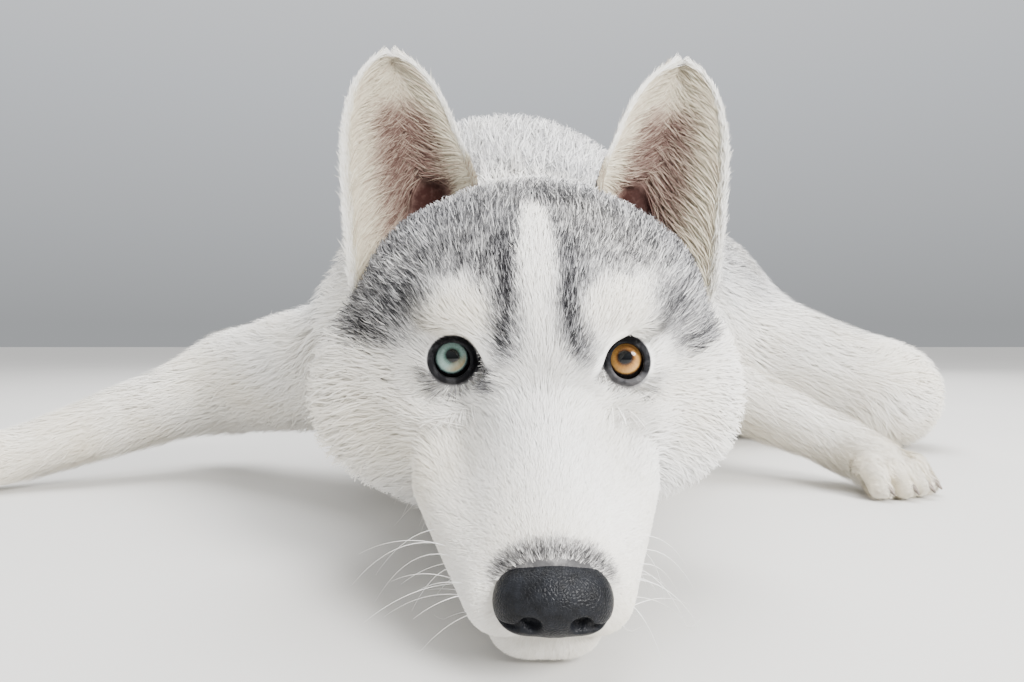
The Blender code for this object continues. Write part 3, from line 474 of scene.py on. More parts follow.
def sampled(field, low, high, step):
    """The field on a grid, worked out in full only in the blocks that its zero level may cross."""
    block = 4  # cells along the side of a block
    counts = [int(math.ceil((high[i] - low[i]) / step / block)) * block + 1 for i in range(3)]
    axes = [low[i] + step * np.arange(counts[i]) for i in range(3)]
    coarse_axes = [a[::block] for a in axes]
    shape = tuple(len(a) for a in coarse_axes)
    spots = np.stack(np.meshgrid(*coarse_axes, indexing="ij"), -1).reshape(-1, 3)
    coarse = field(spots).reshape(shape)
    near = np.abs(coarse) < 1.9 * step * block
    padded = np.pad(near, 1)
    wide = np.zeros_like(near)
    for i, j, k in np.ndindex(3, 3, 3):
        wide |= padded[i : i + shape[0], j : j + shape[1], k : k + shape[2]]
    index = [np.minimum((np.arange(counts[i]) + block // 2) // block, shape[i] - 1) for i in range(3)]
    grid = coarse[np.ix_(*index)]
    places = np.argwhere(wide[np.ix_(*index)])
    at_once = 150000
    for start in range(0, len(places), at_once):
        part = places[start : start + at_once]
        grid[tuple(part.T)] = field(np.asarray(low) + step * part)
    return grid


def surface(field, low, high, step):
    """Points and triangles of the field's zero level: a point in each crossed cell, a quad on each crossed edge."""
    grid = sampled(field, low, high, step)
    inside = grid < 0
    offsets = [(i, j, k) for i in (0, 1) for j in (0, 1) for k in (0, 1)]
    nx, ny, nz = (n - 1 for n in grid.shape)
    count = sum(inside[i : nx + i, j : ny + j, k : nz + k].astype(np.int8) for i, j, k in offsets)
    cells = np.argwhere((count > 0) & (count < 8))
    number = np.full((nx, ny, nz), -1, np.int64)
    number[tuple(cells.T)] = np.arange(len(cells))
    total = np.zeros((len(cells), 3))
    crossings = np.zeros(len(cells))
    for a in offsets:
        for axis in range(3):
            if a[axis]:
                continue
            b = tuple(a[i] + (i == axis) for i in range(3))
            near = grid[tuple((cells + a).T)]
            far = grid[tuple((cells + b).T)]
            cut = (near < 0) != (far < 0)
            place = np.tile(np.array(a, float), (len(cells), 1))
            place[cut, axis] += near[cut] / (near[cut] - far[cut])
            total[cut] += place[cut]
            crossings[cut] += 1
    points = np.asarray(low) + step * (cells + total / crossings[:, None])
    quads = []
    for axis in range(3):
        u, v = (axis + 1) % 3, (axis + 2) % 3
        here = np.take(inside, range(grid.shape[axis] - 1), axis)
        there = np.take(inside, range(1, grid.shape[axis]), axis)
        edges = np.argwhere(here != there)
        edges = edges[(edges[:, u] > 0) & (edges[:, v] > 0)]
        edges = edges[(edges[:, u] < grid.shape[u] - 1) & (edges[:, v] < grid.shape[v] - 1)]
        step_u, step_v = np.eye(3, dtype=int)[u], np.eye(3, dtype=int)[v]
        around = (step_u + step_v, step_v, 0 * step_u, step_u)
        ring = np.stack([number[tuple((edges - d).T)] for d in around], 1)
        quads.append(np.where(here[tuple(edges.T)][:, None], ring, ring[:, ::-1]))
    quads = np.concatenate(quads)
    return points, np.concatenate((quads[:, [0, 1, 2]], quads[:, [0, 2, 3]]))


def slope_of(field, points):
    """Unit vector that leads away from the shape, at each point."""
    steps = 0.0004 * np.eye(3)
    slope = np.stack([field(points + step) - field(points - step) for step in steps], 1)
    return slope / (np.linalg.norm(slope, axis=1)[:, None] + 1e-12)


def settled_on(field, points, farthest, rounds=2):
    """The points, drawn onto the field's zero level."""
    for _ in range(rounds):
        move = np.clip(field(points), -farthest, farthest)
        points = points - slope_of(field, points) * move[:, None]
    return points


def finer_near(points, triangles, centres, reach):
    """Splits each triangle near a centre, and its neighbours' shared edges with it."""
    body = bmesh.new()
    for p in points.tolist():
        body.verts.new(p)
    body.verts.ensure_lookup_table()
    verts = body.verts[:]
    for a, b, c in triangles.tolist():
        body.faces.new((verts[a], verts[b], verts[c]))
    middle = points[triangles].mean(1)
    near = np.zeros(len(triangles), bool)
    for centre in centres:
        near |= np.linalg.norm(middle - np.asarray(centre), axis=1) < reach
    body.faces.ensure_lookup_table()
    edges = {e for i in np.nonzero(near)[0].tolist() for e in body.faces[i].edges}
    bmesh.ops.subdivide_edges(body, edges=list(edges), cuts=1, use_grid_fill=True)
    bmesh.ops.triangulate(body, faces=body.faces[:])
    body.verts.index_update()
    new_points = np.array([v.co[:] for v in body.verts])
    new_triangles = np.array([[v.index for v in f.verts] for f in body.faces])
    body.free()
    return new_points, new_triangles


def vertex_normals(points, triangles):
    """Unit normal of each point, from the triangles round it."""
    a, b, c = (points[triangles[:, i]] for i in range(3))
    flat = np.cross(b - a, c - a)
    normals = np.zeros_like(points)
    for i in range(3):
        np.add.at(normals, triangles[:, i], flat)
    return normals / (np.linalg.norm(normals, axis=1)[:, None] + 1e-15)


def unwrapped(points, triangles, parts):
    """A flat place for each corner: each body part is seen square on from six sides, each with its own sheet."""
    a, b, c = (points[triangles[:, i]] for i in range(3))
    normal = np.cross(b - a, c - a)
    axis = np.abs(normal).argmax(1)
    facing = np.take_along_axis(normal, axis[:, None], 1)[:, 0] > 0
    sheet = parts * 6 + axis * 2 + facing
    margin = 0.01
    corners = np.empty((len(triangles), 3, 2))
    sheets = []
    for number in np.unique(sheet):
        chosen = np.nonzero(sheet == number)[0]
        keep = [i for i in range(3) if i != axis[chosen[0]]]
        flat = points[triangles[chosen]][:, :, keep]
        low, high = flat.min((0, 1)), flat.max((0, 1))
        sheets.append((high - low, chosen, flat - low))
    sheets.sort(key=lambda entry: -entry[0][1])
    width = 1.15 * math.sqrt(sum((size[0] + margin) * (size[1] + margin) for size, _, _ in sheets))
    x = y = row = 0.0
    for size, chosen, flat in sheets:
        if x + size[0] > width:
            x, y, row = 0.0, y + row + margin, 0.0
        corners[chosen] = flat + (x, y)
        x += size[0] + margin
        row = max(row, size[1])
    return (corners + margin / 2) / (max(width, y + row) + 2 * margin)


def mesh_from(name, points, triangles, uv=None, values=None):
    """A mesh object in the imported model's place, with its unwrap and its named values."""
    mesh = bpy.data.meshes.new(name)
    count, faces = len(points), len(triangles)
    mesh.vertices.add(count)
    mesh.vertices.foreach_set("co", (np.asarray(points) + np.array(SHIFT)).astype(np.float32).ravel())
    mesh.loops.add(faces * 3)
    mesh.loops.foreach_set("vertex_index", np.asarray(triangles, np.int32).ravel())
    mesh.polygons.add(faces)
    mesh.polygons.foreach_set("loop_start", np.arange(0, faces * 3, 3, dtype=np.int32))
    mesh.update(calc_edges=True)
    mesh.polygons.foreach_set("use_smooth", np.ones(faces, bool))
    if uv is not None:
        layer = mesh.uv_layers.new(name="OFBake")
        layer.uv.foreach_set("vector", np.asarray(uv, np.float32).ravel())
    for key, value in (values or {}).items():
        mesh.attributes.new(key, "FLOAT", "POINT").data.foreach_set("value", np.asarray(value, np.float32))
    mesh.validate()
    made = bpy.data.objects.new(name, mesh)
    bpy.context.scene.collection.objects.link(made)
    return made


def from_bmesh(name, body, smooth=True):
    """A mesh object from a finished bmesh."""
    bmesh.ops.recalc_face_normals(body, faces=body.faces[:])
    mesh = bpy.data.meshes.new(name)
    body.to_mesh(mesh)
    body.free()
    mesh.polygons.foreach_set("use_smooth", [smooth] * len(mesh.polygons))
    made = bpy.data.objects.new(name, mesh)
    bpy.context.scene.collection.objects.link(made)
    return made


def placed(piece, slot, *nodes):
    """Fixes a finished piece to the model."""
    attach(piece, "root")
    if nodes:
        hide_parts(*nodes)
    return piece


# Markings, the same on skin and coat, with a painted shade on the right cheek.


def wavy(points, size, seed):
    """Smooth noise between -1 and 1, with waves about as long as size."""
    rng = np.random.default_rng(seed)
    total = np.zeros(len(points))
    for _ in range(5):
        way = rng.normal(size=3)
        way *= rng.uniform(0.7, 1.5) / np.linalg.norm(way)
        total += np.sin(points @ way * (2 * math.pi / size) + rng.uniform(0, 6.3))
    return total / 3.2


def spot(u, v, place, radii, tilt=0.0):
    """1 in the middle of an oval, falling smoothly to 0 just outside it."""
    c, s = math.cos(tilt), math.sin(tilt)
    a, b = u - place[0], v - place[1]
    away = ((a * c + b * s) / radii[0]) ** 2 + ((b * c - a * s) / radii[1]) ** 2
    return np.exp(-(away**1.4))


# The markings' places on the head, seen from the front in its own frame. An oval has a middle, radii and a tilt.
# The lower edge of the silver cap, as x and z.
CAP_EDGE = (
    (-0.110, 0.030),
    (-0.080, 0.035),
    (-0.065, 0.044),
    (-0.050, 0.0630),
    (-0.040, 0.0680),
    (-0.030, 0.0695),
    (-0.020, 0.0670),
    (-0.012, 0.062),
    (0.0, 0.060),
    (0.012, 0.065),
    (0.020, 0.0715),
    (0.030, 0.0735),
    (0.040, 0.0720),
    (0.050, 0.0650),
    (0.065, 0.052),
    (0.080, 0.042),
    (0.110, 0.032),
)
# The white blaze: its middle and half its width, each as z and x.
BLAZE_LINE = ((0.040, -0.0010), (0.060, -0.0030), (0.074, -0.0025), (0.090, -0.0045), (0.098, -0.0060))
BLAZE_WIDTH = ((0.040, 0.0100), (0.060, 0.0080), (0.080, 0.0072), (0.092, 0.0050), (0.099, 0.0010))
# The dark stripes beside it: each one's line as z and x, then strength and width.
RIGHT_STRIPE = (
    (0.041, -0.0094),
    (0.053, -0.0116),
    (0.0635, -0.0126),
    (0.073, -0.0142),
    (0.0825, -0.0164),
    (0.090, -0.0187),
)
LEFT_STRIPE = (
    (0.0435, 0.0104),
    (0.055, 0.0079),
    (0.064, 0.0070),
    (0.074, 0.0094),
    (0.0835, 0.0081),
    (0.0926, 0.0056),
)
STRIPES = ((RIGHT_STRIPE, 1.0, 0.0052), (LEFT_STRIPE, 0.95, 0.0046))
WHITE_BROWS = (((-0.0325, 0.0585), (0.0160, 0.0080), 0.1), ((0.0265, 0.0610), (0.0140, 0.0105), 0.0))
# Strength and oval of each dark patch beside the eyes.
DARK_PATCHES = (
    (0.84, (-0.0550, 0.0570), (0.0170, 0.0110), 0.75),
    (0.88, (-0.0680, 0.0420), (0.0180, 0.0060), 0.15),
    (0.42, (-0.0780, 0.0500), (0.0130, 0.0160), 0.0),
    (0.66, (0.0510, 0.0575), (0.0145, 0.0095), -0.6),
    (0.70, (0.0650, 0.0430), (0.0160, 0.0060), -0.2),
    (0.50, (0.0720, 0.0520), (0.0140, 0.0140), 0.0),
)
# Strength and oval of the dark hair at the inner corner of each eye.
EYE_CORNERS = (
    (0.98, (-0.0215, 0.0372), (0.0080, 0.0050), -0.50),
    (0.62, (0.0240, 0.0380), (0.0055, 0.0040), 0.45),
)
CROWN = ((0.006, 0.131), (0.024, 0.0095))  # the dark spot on top, seen from above
# A warm beige painted shade on the right cheek, the side turned from the key lamp: its oval's middle and radii, as x
# and z.
SHADED_CHEEK_TINT = ((-0.066, 0.012), (0.034, 0.034))


def silver_cap(p, wave):
    """How dark the silver cap is, which comes down between the brows and past the eyes."""
    x, y, z = p.T
    edge = np.interp(x, *zip(*CAP_EDGE))
    cap = eased(-0.004, 0.006, z - edge + 0.0012 * wave) * (0.60 + 0.16 * wave)
    cap = cap * (1.0 - 0.72 * eased(0.143, 0.160, y) * eased(0.062, 0.045, np.abs(x)))
    return np.where(y > 0.165, cap * eased(0.26, 0.17, y), cap)


def blaze_and_stripes(p, wave):
    """How white the blaze is, and how dark the stripes beside it are."""
    x, y, z = p.T
    off = np.abs(x - np.interp(z, *zip(*BLAZE_LINE))) / np.interp(z, *zip(*BLAZE_WIDTH))
    blaze = eased(1.25, 0.75, off) * eased(0.100, 0.093, z)
    reach = eased(0.036, 0.054, z) * eased(0.100, 0.080, z) * (y < 0.15)
    stripes = np.zeros(len(p))
    for line, strength, width in STRIPES:
        off = x - np.interp(z, *zip(*line)) + 0.0008 * wave
        stripes = np.maximum(stripes, reach * strength * np.exp(-((off / width) ** 2)))
    return blaze, stripes


def black_skin(p):
    """How black the bare rims of the lids and the lips are."""
    x, y, z = p.T
    rim = 1.0 - 0.34 * eased(0.000, 0.006, x) * eased(0.040, 0.035, z)
    near_eye = np.linalg.norm(from_eye(p), axis=1) < 0.020
    rims = np.where(near_eye, rim * eased(0.0033, 0.0025, lid_opening(p)), 0.0)
    upper, lower = head_form(folded(p)), jaw_form(folded(p))
    lips = eased(0.0026, 0.0010, np.abs(upper - lower)) * eased(0.004, 0.0, np.minimum(upper, lower)) * (y < 0.10)
    return np.maximum(rims, 0.97 * lips)


def markings_and_cheek_shade(points, bare=False):
    """How dark the coat is at each point, and how warm its white is, both from 0 to 1; bare adds the black skin. The
    warmth also holds a painted beige shade on the right cheek.
    """
    p = in_head(points)
    x, y, z = p.T
    wave = wavy(points, 0.011, 3)
    on_head = eased(0.235, 0.195, y)
    front = eased(0.150, 0.125, y)
    brows = np.max([spot(x, z, *oval) for oval in WHITE_BROWS], axis=0)
    blaze, stripes = blaze_and_stripes(p, wave)
    shade = silver_cap(p, wave) * (1.0 - 0.96 * blaze) * (1.0 - 0.95 * brows * (y < 0.13))
    shade = np.maximum(shade, stripes * (1.0 - 0.5 * blaze))
    for strength, *oval in DARK_PATCHES:
        shade = np.maximum(shade, strength * spot(x, z, *oval) * front * (1.0 - 0.6 * brows))
    shade = np.maximum(shade, 0.92 * spot(x, y, *CROWN) * (z > 0.075))
    for strength, *oval in EYE_CORNERS:
        shade = np.maximum(shade, strength * spot(x, z, *oval) * front)
    lashes = eased(0.0052, 0.0030, lid_opening(p)) * eased(0.0, -0.004, from_eye(p)[:, 2])
    lashes = lashes * (np.abs(x) < 0.05) * (y < 0.12)
    shade = np.maximum(shade, np.where(x < 0.0, 0.60, 0.35) * lashes)
    if bare:
        shade = np.maximum(shade, black_skin(p))
    above_nose = eased(0.0055, 0.0005, near_nose(p, (0.0180, 0.0140, 0.0135))) * eased(-0.008, 0.001, z)
    shade = np.maximum(shade, 0.60 * above_nose)
    # Behind the head the back and the top of the tail are silver.
    height = points[:, 2]
    behind = 1.0 - on_head
    top = eased(0.13, 0.21, height) * 0.30 + eased(0.05, 0.09, height) * 0.16 * eased(0.80, 0.90, points[:, 1])
    patchy = 1.0 + 0.22 * wavy(points, 0.11, 5) + 0.18 * wavy(points, 0.013, 6)
    shade = np.maximum(shade, behind * top * patchy)
    warm = 0.25 + 0.20 * wavy(points, 0.07, 8)
    warm = warm + 0.55 * brows * front + 0.35 * eased(0.06, 0.02, height)
    # The cheek's oval adds the painted shade there as warmth.
    warm = warm + 0.55 * on_head * spot(x, z, *SHADED_CHEEK_TINT) + 0.30 * behind * eased(0.16, 0.09, height)
    return np.clip(shade, 0.0, 1.0), np.clip(warm, 0.0, 1.0)


# The coat: how it lies, its hairs and its pieces.


def lie_of(points, normals, parts):
    """The way the hair lies along the skin at each root."""
    shares = shares_of(parts)
    p = in_head(points)
    # On the head it leads away from the nose, down on cheeks and lips, and away from the eyes beside them.
    away = p - np.array((0.0, -0.012, -0.004))
    away[:, 0] *= 1.15
    away /= np.linalg.norm(away, axis=1)[:, None]
    cheek = eased(0.035, 0.070, np.abs(p[:, 0])) * eased(0.055, 0.015, p[:, 2])
    lip = eased(0.085, 0.03, p[:, 1]) * eased(0.012, 0.026, np.abs(p[:, 0]))
    away[:, 2] -= 0.55 * cheek
    away[:, 2] -= 0.55 * lip
    outward = from_eye(p)
    distance = np.linalg.norm(outward, axis=1)
    outward /= distance[:, None]
    outward[:, 0] *= np.sign(p[:, 0])
    away += outward * (1.5 * eased(0.027, 0.014, distance))[:, None]
    way = shares[0][:, None] * (away @ HEAD_TURN.T)
    # On the trunk it leads back and down, and on legs and tail along them.
    spine, _ = along_chain(points, [s[:3] for s in SPINE], SPINE_HAIR)
    spine[:, 2] -= 0.55 * (1.0 - np.abs(normals[:, 2]))
    way += shares[1][:, None] * spine
    for share, (chain, values) in zip(shares[2:], chains()):
        if share.max() > 1e-3:
            way += share[:, None] * along_chain(points, chain, values)[0]
    way += 0.20 * np.stack([wavy(points, 0.06, 20 + i) for i in range(3)], 1)
    way -= normals * (way * normals).sum(1)[:, None]
    return way / (np.linalg.norm(way, axis=1)[:, None] + 1e-9)


def ribbons(middles, halves):
    """Points of flat, pointed hairs, from stations of their middles and half their widths at all but the last."""
    points = np.empty((len(middles[0]), 2 * len(halves) + 1, 3))
    for i, half in enumerate(halves):
        points[:, 2 * i], points[:, 2 * i + 1] = middles[i] - half, middles[i] + half
    points[:, -1] = middles[-1]
    return points


def ribbon_piece(name, points, root_uv, values, material, slot):
    """One piece of the model from such hairs; values has one number for each hair, or for each of its points."""
    count, step = points.shape[:2]
    pattern = [f for a in range(0, step - 3, 2) for f in ((a, a + 1, a + 3), (a, a + 3, a + 2))]
    pattern = np.array([*pattern, (step - 3, step - 2, step - 1)])
    triangles = (pattern[None] + step * np.arange(count)[:, None, None]).reshape(-1, 3)
    number = np.arange(step)
    patch = np.stack(((number % 2 - 0.5) * 0.002, (number // 2) / (step // 2) * 0.003), 1)
    uv = (root_uv[:, None] + patch[None])[:, pattern.ravel()].reshape(-1, 2)
    spread = {key: np.broadcast_to(value.reshape(count, -1), (count, step)).ravel() for key, value in values.items()}
    piece = mesh_from(name, points.reshape(-1, 3), triangles, uv, spread)
    piece.data.materials.append(material)
    return placed(piece, slot)


def along_ribbon(steps):
    """The share of its length at each point of a ribbon, from its stations' shares."""
    return np.repeat(steps, 2)[:-1]


def strands(rng, roots, widths, segments, lift, spread=0.22, clump=0.45):
    """Points of hairs that leave the skin, bend over and lie along it, and the share of their length at each."""
    place, normal, lie = roots["place"], roots["normal"], roots["lie"]
    count = len(place)
    side = np.cross(lie, normal)
    turn = rng.normal(0.0, spread, count)
    lie = lie * np.cos(turn)[:, None] + side * np.sin(turn)[:, None]
    side = np.cross(lie, normal)
    # Tips of neighbours draw together, to a random spot in each cell of a grid.
    size = 2.0 ** np.round(np.log2(np.maximum(widths * 9.6, 0.0012)))
    cell = np.floor(place / size[:, None] + 0.31)
    mixer = np.array(((12.9898, 78.233, 37.719), (39.346, 11.135, 83.155), (73.156, 52.235, 9.151)))
    random_spot = np.sin(cell @ mixer.T) * 43758.5453 % 1.0 - 0.5
    goal = (cell + 0.19 + 0.9 * random_spot) * size[:, None] - place
    goal -= normal * (goal * normal).sum(1)[:, None]
    lengths = roots["hair"] * rng.uniform(0.75, 1.25, count)
    lifts = roots["hair"] * lift * rng.uniform(0.55, 1.20, count)
    # Where the skin bends away below a tip, or up into it, the hair follows.
    tips = place + lie * lengths[:, None] + normal * lifts[:, None] + goal * clump
    drop = np.clip(bare_skin(tips) - lifts * 0.95, -0.02, 0.05)
    sway = rng.normal(0.0, 0.07, count) * lengths
    steps = np.arange(segments + 1) / segments
    middles = []
    for t in steps:
        height = lifts * (1.0 - (1.0 - t) ** 2.1) - 0.0005 * (1.0 - t) - drop * t * t
        middle = place + lie * (lengths * t)[:, None] + normal * height[:, None]
        middles.append(middle + (goal * (clump * t * t) + side * (sway * t * t)[:, None]))
    taper = (0.80, 1.0, 0.78, 0.5)[:segments]
    points = ribbons(middles, [side * (widths * 0.5 * share)[:, None] for share in taper])
    points[..., 2] = np.maximum(points[..., 2], HAIR_GAP)
    return points, along_ribbon(steps)


def clear_of_face(points):
    """Which hairs keep off the eyes and the nose pad."""
    p = in_head(points.reshape(-1, 3))
    clear = (lid_opening(p) > 0.0021) | (np.linalg.norm(from_eye(p), axis=1) > 0.034)
    clear &= near_nose(p) > 0.0
    return clear.reshape(len(points), -1).all(1)


def coat_piece(name, rng, roots, widths, segments, lift, slot, **style):
    """One piece of the coat, with the markings of the skin and its painted cheek shade at its roots."""
    points, along = strands(rng, roots, widths, segments, lift, **style)
    if name.startswith("coat_head"):
        clear = clear_of_face(points)
        points, roots = points[clear], {key: value[clear] for key, value in roots.items()}
    shade, warm = markings_and_cheek_shade(roots["place"])
    chance = rng.uniform(0.0, 1.0, len(points))
    # A dark patch is a mix of white hairs and hairs with dark ends.
    ends = 0.30 + 0.95 * along
    strength = 0.30 + 1.15 * chance
    tint = np.clip(np.minimum(shade, 0.95)[:, None] * strength[:, None] * ends, 0.0, 1.0)
    values = {
        "shade": np.maximum(tint, 0.05 * chance[:, None]),
        "warm": np.clip(warm + 0.3 * (chance - 0.5), 0, 1),
    }
    return ribbon_piece(name, points, roots["uv"], values, coat_hair(), slot)


def chosen_roots(rng, skin, weights, count):
    """Random places on the skin's triangles, more of them where the weights are larger."""
    points, triangles, normals = skin["points"], skin["triangles"], skin["normals"]
    total = np.cumsum(weights)
    if total[-1] <= 0:
        raise RuntimeError("there is no skin to grow hair on")
    picked = np.searchsorted(total, rng.uniform(0.0, total[-1], count))
    u, v = rng.uniform(size=(2, count))
    over = u + v > 1
    u[over], v[over] = 1 - u[over], 1 - v[over]
    share = np.stack((1 - u - v, u, v), 1)
    corners = triangles[picked]
    place = (points[corners] * share[..., None]).sum(1)
    normal = (normals[corners] * share[..., None]).sum(1)
    normal /= np.linalg.norm(normal, axis=1)[:, None]
    uv = (skin["uv"][picked] * share[..., None]).sum(1)
    lie = (skin["lie"][corners] * share[..., None]).sum(1)
    lie -= normal * (lie * normal).sum(1)[:, None]
    lie /= np.linalg.norm(lie, axis=1)[:, None] + 1e-9
    length = (skin["hair"][corners] * share).sum(1)
    return {"place": place, "normal": normal, "lie": lie, "uv": uv, "hair": length}


# Materials.


def shader_of(name, roughness, specular, **sockets):
    """A new material with the values that are the same all over, its node tree, and the place on the object."""
    material = bpy.data.materials.new(name)
    material.use_nodes = True
    tree = material.node_tree
    shader = tree.nodes["Principled BSDF"]
    shader.inputs["Roughness"].default_value = roughness
    shader.inputs["Specular IOR Level"].default_value = specular
    for key, value in sockets.items():
        shader.inputs[key.replace("_", " ")].default_value = value
    return material, tree, node(tree, "ShaderNodeTexCoord").outputs["Object"]


def finished(material, colour, height=None, strength=0.0, distance=0.0):
    """Gives the material its colour and, from a height, its relief."""
    tree = material.node_tree
    shader = tree.nodes["Principled BSDF"]
    tree.links.new(colour, shader.inputs["Base Color"])
    if height is not None:
        bump = node(tree, "ShaderNodeBump", {"Height": height, "Strength": strength, "Distance": distance})
        tree.links.new(bump.outputs["Normal"], shader.inputs["Normal"])
    return material


def node(tree, kind, inputs=None, **settings):
    """A node with its settings, and with values or links in its sockets."""
    made = tree.nodes.new(kind)
    for key, value in settings.items():
        setattr(made, key, value)
    for key, value in (inputs or {}).items():
        if isinstance(value, bpy.types.NodeSocket):
            tree.links.new(value, made.inputs[key])
        else:
            made.inputs[key].default_value = value
    return made


def noise_of(tree, place, scale, detail, **inputs):
    """Smooth noise with so many waves to the metre."""
    sockets = {"Vector": place, "Scale": scale, "Detail": detail}
    sockets.update((key.title(), value) for key, value in inputs.items())
    return node(tree, "ShaderNodeTexNoise", sockets).outputs["Fac"]


def ranged(tree, value, low, high, to_low=0.0, to_high=1.0):
    """The value, spread from one range to another and held inside it."""
    inputs = {"Value": value, "From Min": low, "From Max": high, "To Min": to_low, "To Max": to_high}
    return node(tree, "ShaderNodeMapRange", inputs).outputs[0]


def ramp(tree, factor, stops):
    """A colour ramp with the given places and colours."""
    made = node(tree, "ShaderNodeValToRGB", {"Fac": factor})
    elements = made.color_ramp.elements
    while len(elements) < len(stops):
        elements.new(0.5)
    for element, (place, colour) in zip(elements, stops):
        element.position = place
        element.color = (*colour, 1.0)
    return made.outputs["Color"]


def mixed(tree, factor, first, second, blend="MIX"):
    """A mix of two colours."""
    made = node(tree, "ShaderNodeMix", data_type="RGBA", blend_type=blend)
    for socket, value in ((0, factor), (6, first), (7, second)):
        if isinstance(value, bpy.types.NodeSocket):
            tree.links.new(value, made.inputs[socket])
        else:
            made.inputs[socket].default_value = value if socket == 0 else (*value, 1.0)
    return made.outputs[2]


def maths(tree, operation, *values, clamp=False):
    """A sum on values or links."""
    made = node(tree, "ShaderNodeMath", operation=operation, use_clamp=clamp)
    for socket, value in zip(made.inputs, values):
        if isinstance(value, bpy.types.NodeSocket):
            tree.links.new(value, socket)
        else:
            socket.default_value = value
    return made.outputs[0]


def length_of(tree, x, y):
    """How far a place is from the middle."""
    squares = [maths(tree, "MULTIPLY", value, value) for value in (x, y)]
    return maths(tree, "SQRT", maths(tree, "ADD", *squares))


def attribute(tree, name):
    """A value that the mesh holds at its points."""
    return node(tree, "ShaderNodeAttribute", attribute_name=name).outputs["Fac"]


def coat_material(name, bump):
    """Hair from white through silver to black, driven by the markings and tinted cream where the coat is warm, which
    includes the painted cheek shade; bump adds hairs to bare skin.
    """
    settings = bpy.context.scene.husky_coat
    material, tree, place = shader_of(name, 0.60, 0.12)
    fine = noise_of(tree, place, 260.0, 3.0)
    wide = noise_of(tree, place, 24.0, 2.0)
    shade = attribute(tree, "shade")
    vary = maths(tree, "SUBTRACT", fine, 0.5)
    vary = maths(tree, "MULTIPLY_ADD", vary, maths(tree, "MULTIPLY", shade, 0.9), shade, clamp=True)
    stops = ((0.0, settings.white), (0.30, settings.silver), (0.62, settings.charcoal), (1.0, settings.black))
    colour = ramp(tree, vary, stops)
    cream = mixed(tree, 1.0, colour, settings.cream, "MULTIPLY")
    warmth = maths(tree, "MULTIPLY", attribute(tree, "warm"), maths(tree, "ADD", wide, 0.35), clamp=True)
    height = noise_of(tree, place, 900.0, 4.0) if bump else None
    return finished(material, mixed(tree, warmth, colour, cream), height, 0.5, 0.0006)


def coat_hair():
    """The one material of all the coat's hair."""
    return bpy.data.materials.get("coat_hair") or coat_material("coat_hair", False)


def ear_material(name):
    """Cream hair that turns tan, then mauve and dark red-brown, deeper in the ear; the deepening is partly the ear's
    own colour and partly painted shade inside its cup.
    """
    material, tree, place = shader_of(name, 0.65, 0.12)
    vary = maths(tree, "SUBTRACT", noise_of(tree, place, 420.0, 3.0), 0.5)
    vary = maths(tree, "ADD", attribute(tree, "tone_and_shade"), maths(tree, "MULTIPLY", vary, 0.22), clamp=True)
    stops = (
        (0.0, (0.88, 0.87, 0.84)),
        (0.24, (0.58, 0.53, 0.40)),
        (0.50, (0.34, 0.265, 0.205)),
        (0.74, (0.13, 0.078, 0.064)),
        (1.0, (0.026, 0.008, 0.006)),
    )
    return finished(material, ramp(tree, vary, stops))


# Each eyeball's looks: how far its gaze is turned off the viewer, in mm on the eyeball's surface, and how far its
# pupil sits off the middle; its colours from the pupil out, by their share of IRIS_REACH; and its second colour, with
# the side of the iris that has it.
IRIS_REACH, IRIS_RADIUS, PUPIL_RADIUS = 0.0085, 0.0062, 0.0024
EYE_LOOKS = {
    "right": {
        "slot": "eye_blue",
        "aim": (-0.5, 0.3),
        "pupil": (0.0010, 0.0012),
        "stops": (
            (0.0, (0.0012, 0.0020, 0.0020)),
            (0.31, (0.0020, 0.0050, 0.0045)),
            (0.38, (0.09, 0.16, 0.14)),
            (0.48, (0.25, 0.39, 0.35)),
            (0.67, (0.37, 0.52, 0.48)),
            (0.74, (0.05, 0.075, 0.075)),
            (0.79, (0.004, 0.004, 0.005)),
            (1.0, (0.010, 0.008, 0.007)),
        ),
        "accent": (0.46, 0.36, 0.20),
        "accent_side": (0.6, -0.8),
    },
    "left": {
        "slot": "eye_amber",
        "aim": (-0.1, 0.2),
        "pupil": (-0.0004, 0.0012),
        "stops": (
            (0.0, (0.0012, 0.0018, 0.0022)),
            (0.31, (0.0025, 0.0030, 0.0040)),
            (0.38, (0.07, 0.030, 0.010)),
            (0.48, (0.36, 0.165, 0.040)),
            (0.67, (0.62, 0.34, 0.105)),
            (0.74, (0.06, 0.030, 0.015)),
            (0.80, (0.004, 0.004, 0.004)),
            (1.0, (0.012, 0.009, 0.009)),
        ),
        "accent": (0.20, 0.09, 0.03),
        "accent_side": (0.3, 0.95),
    },
}


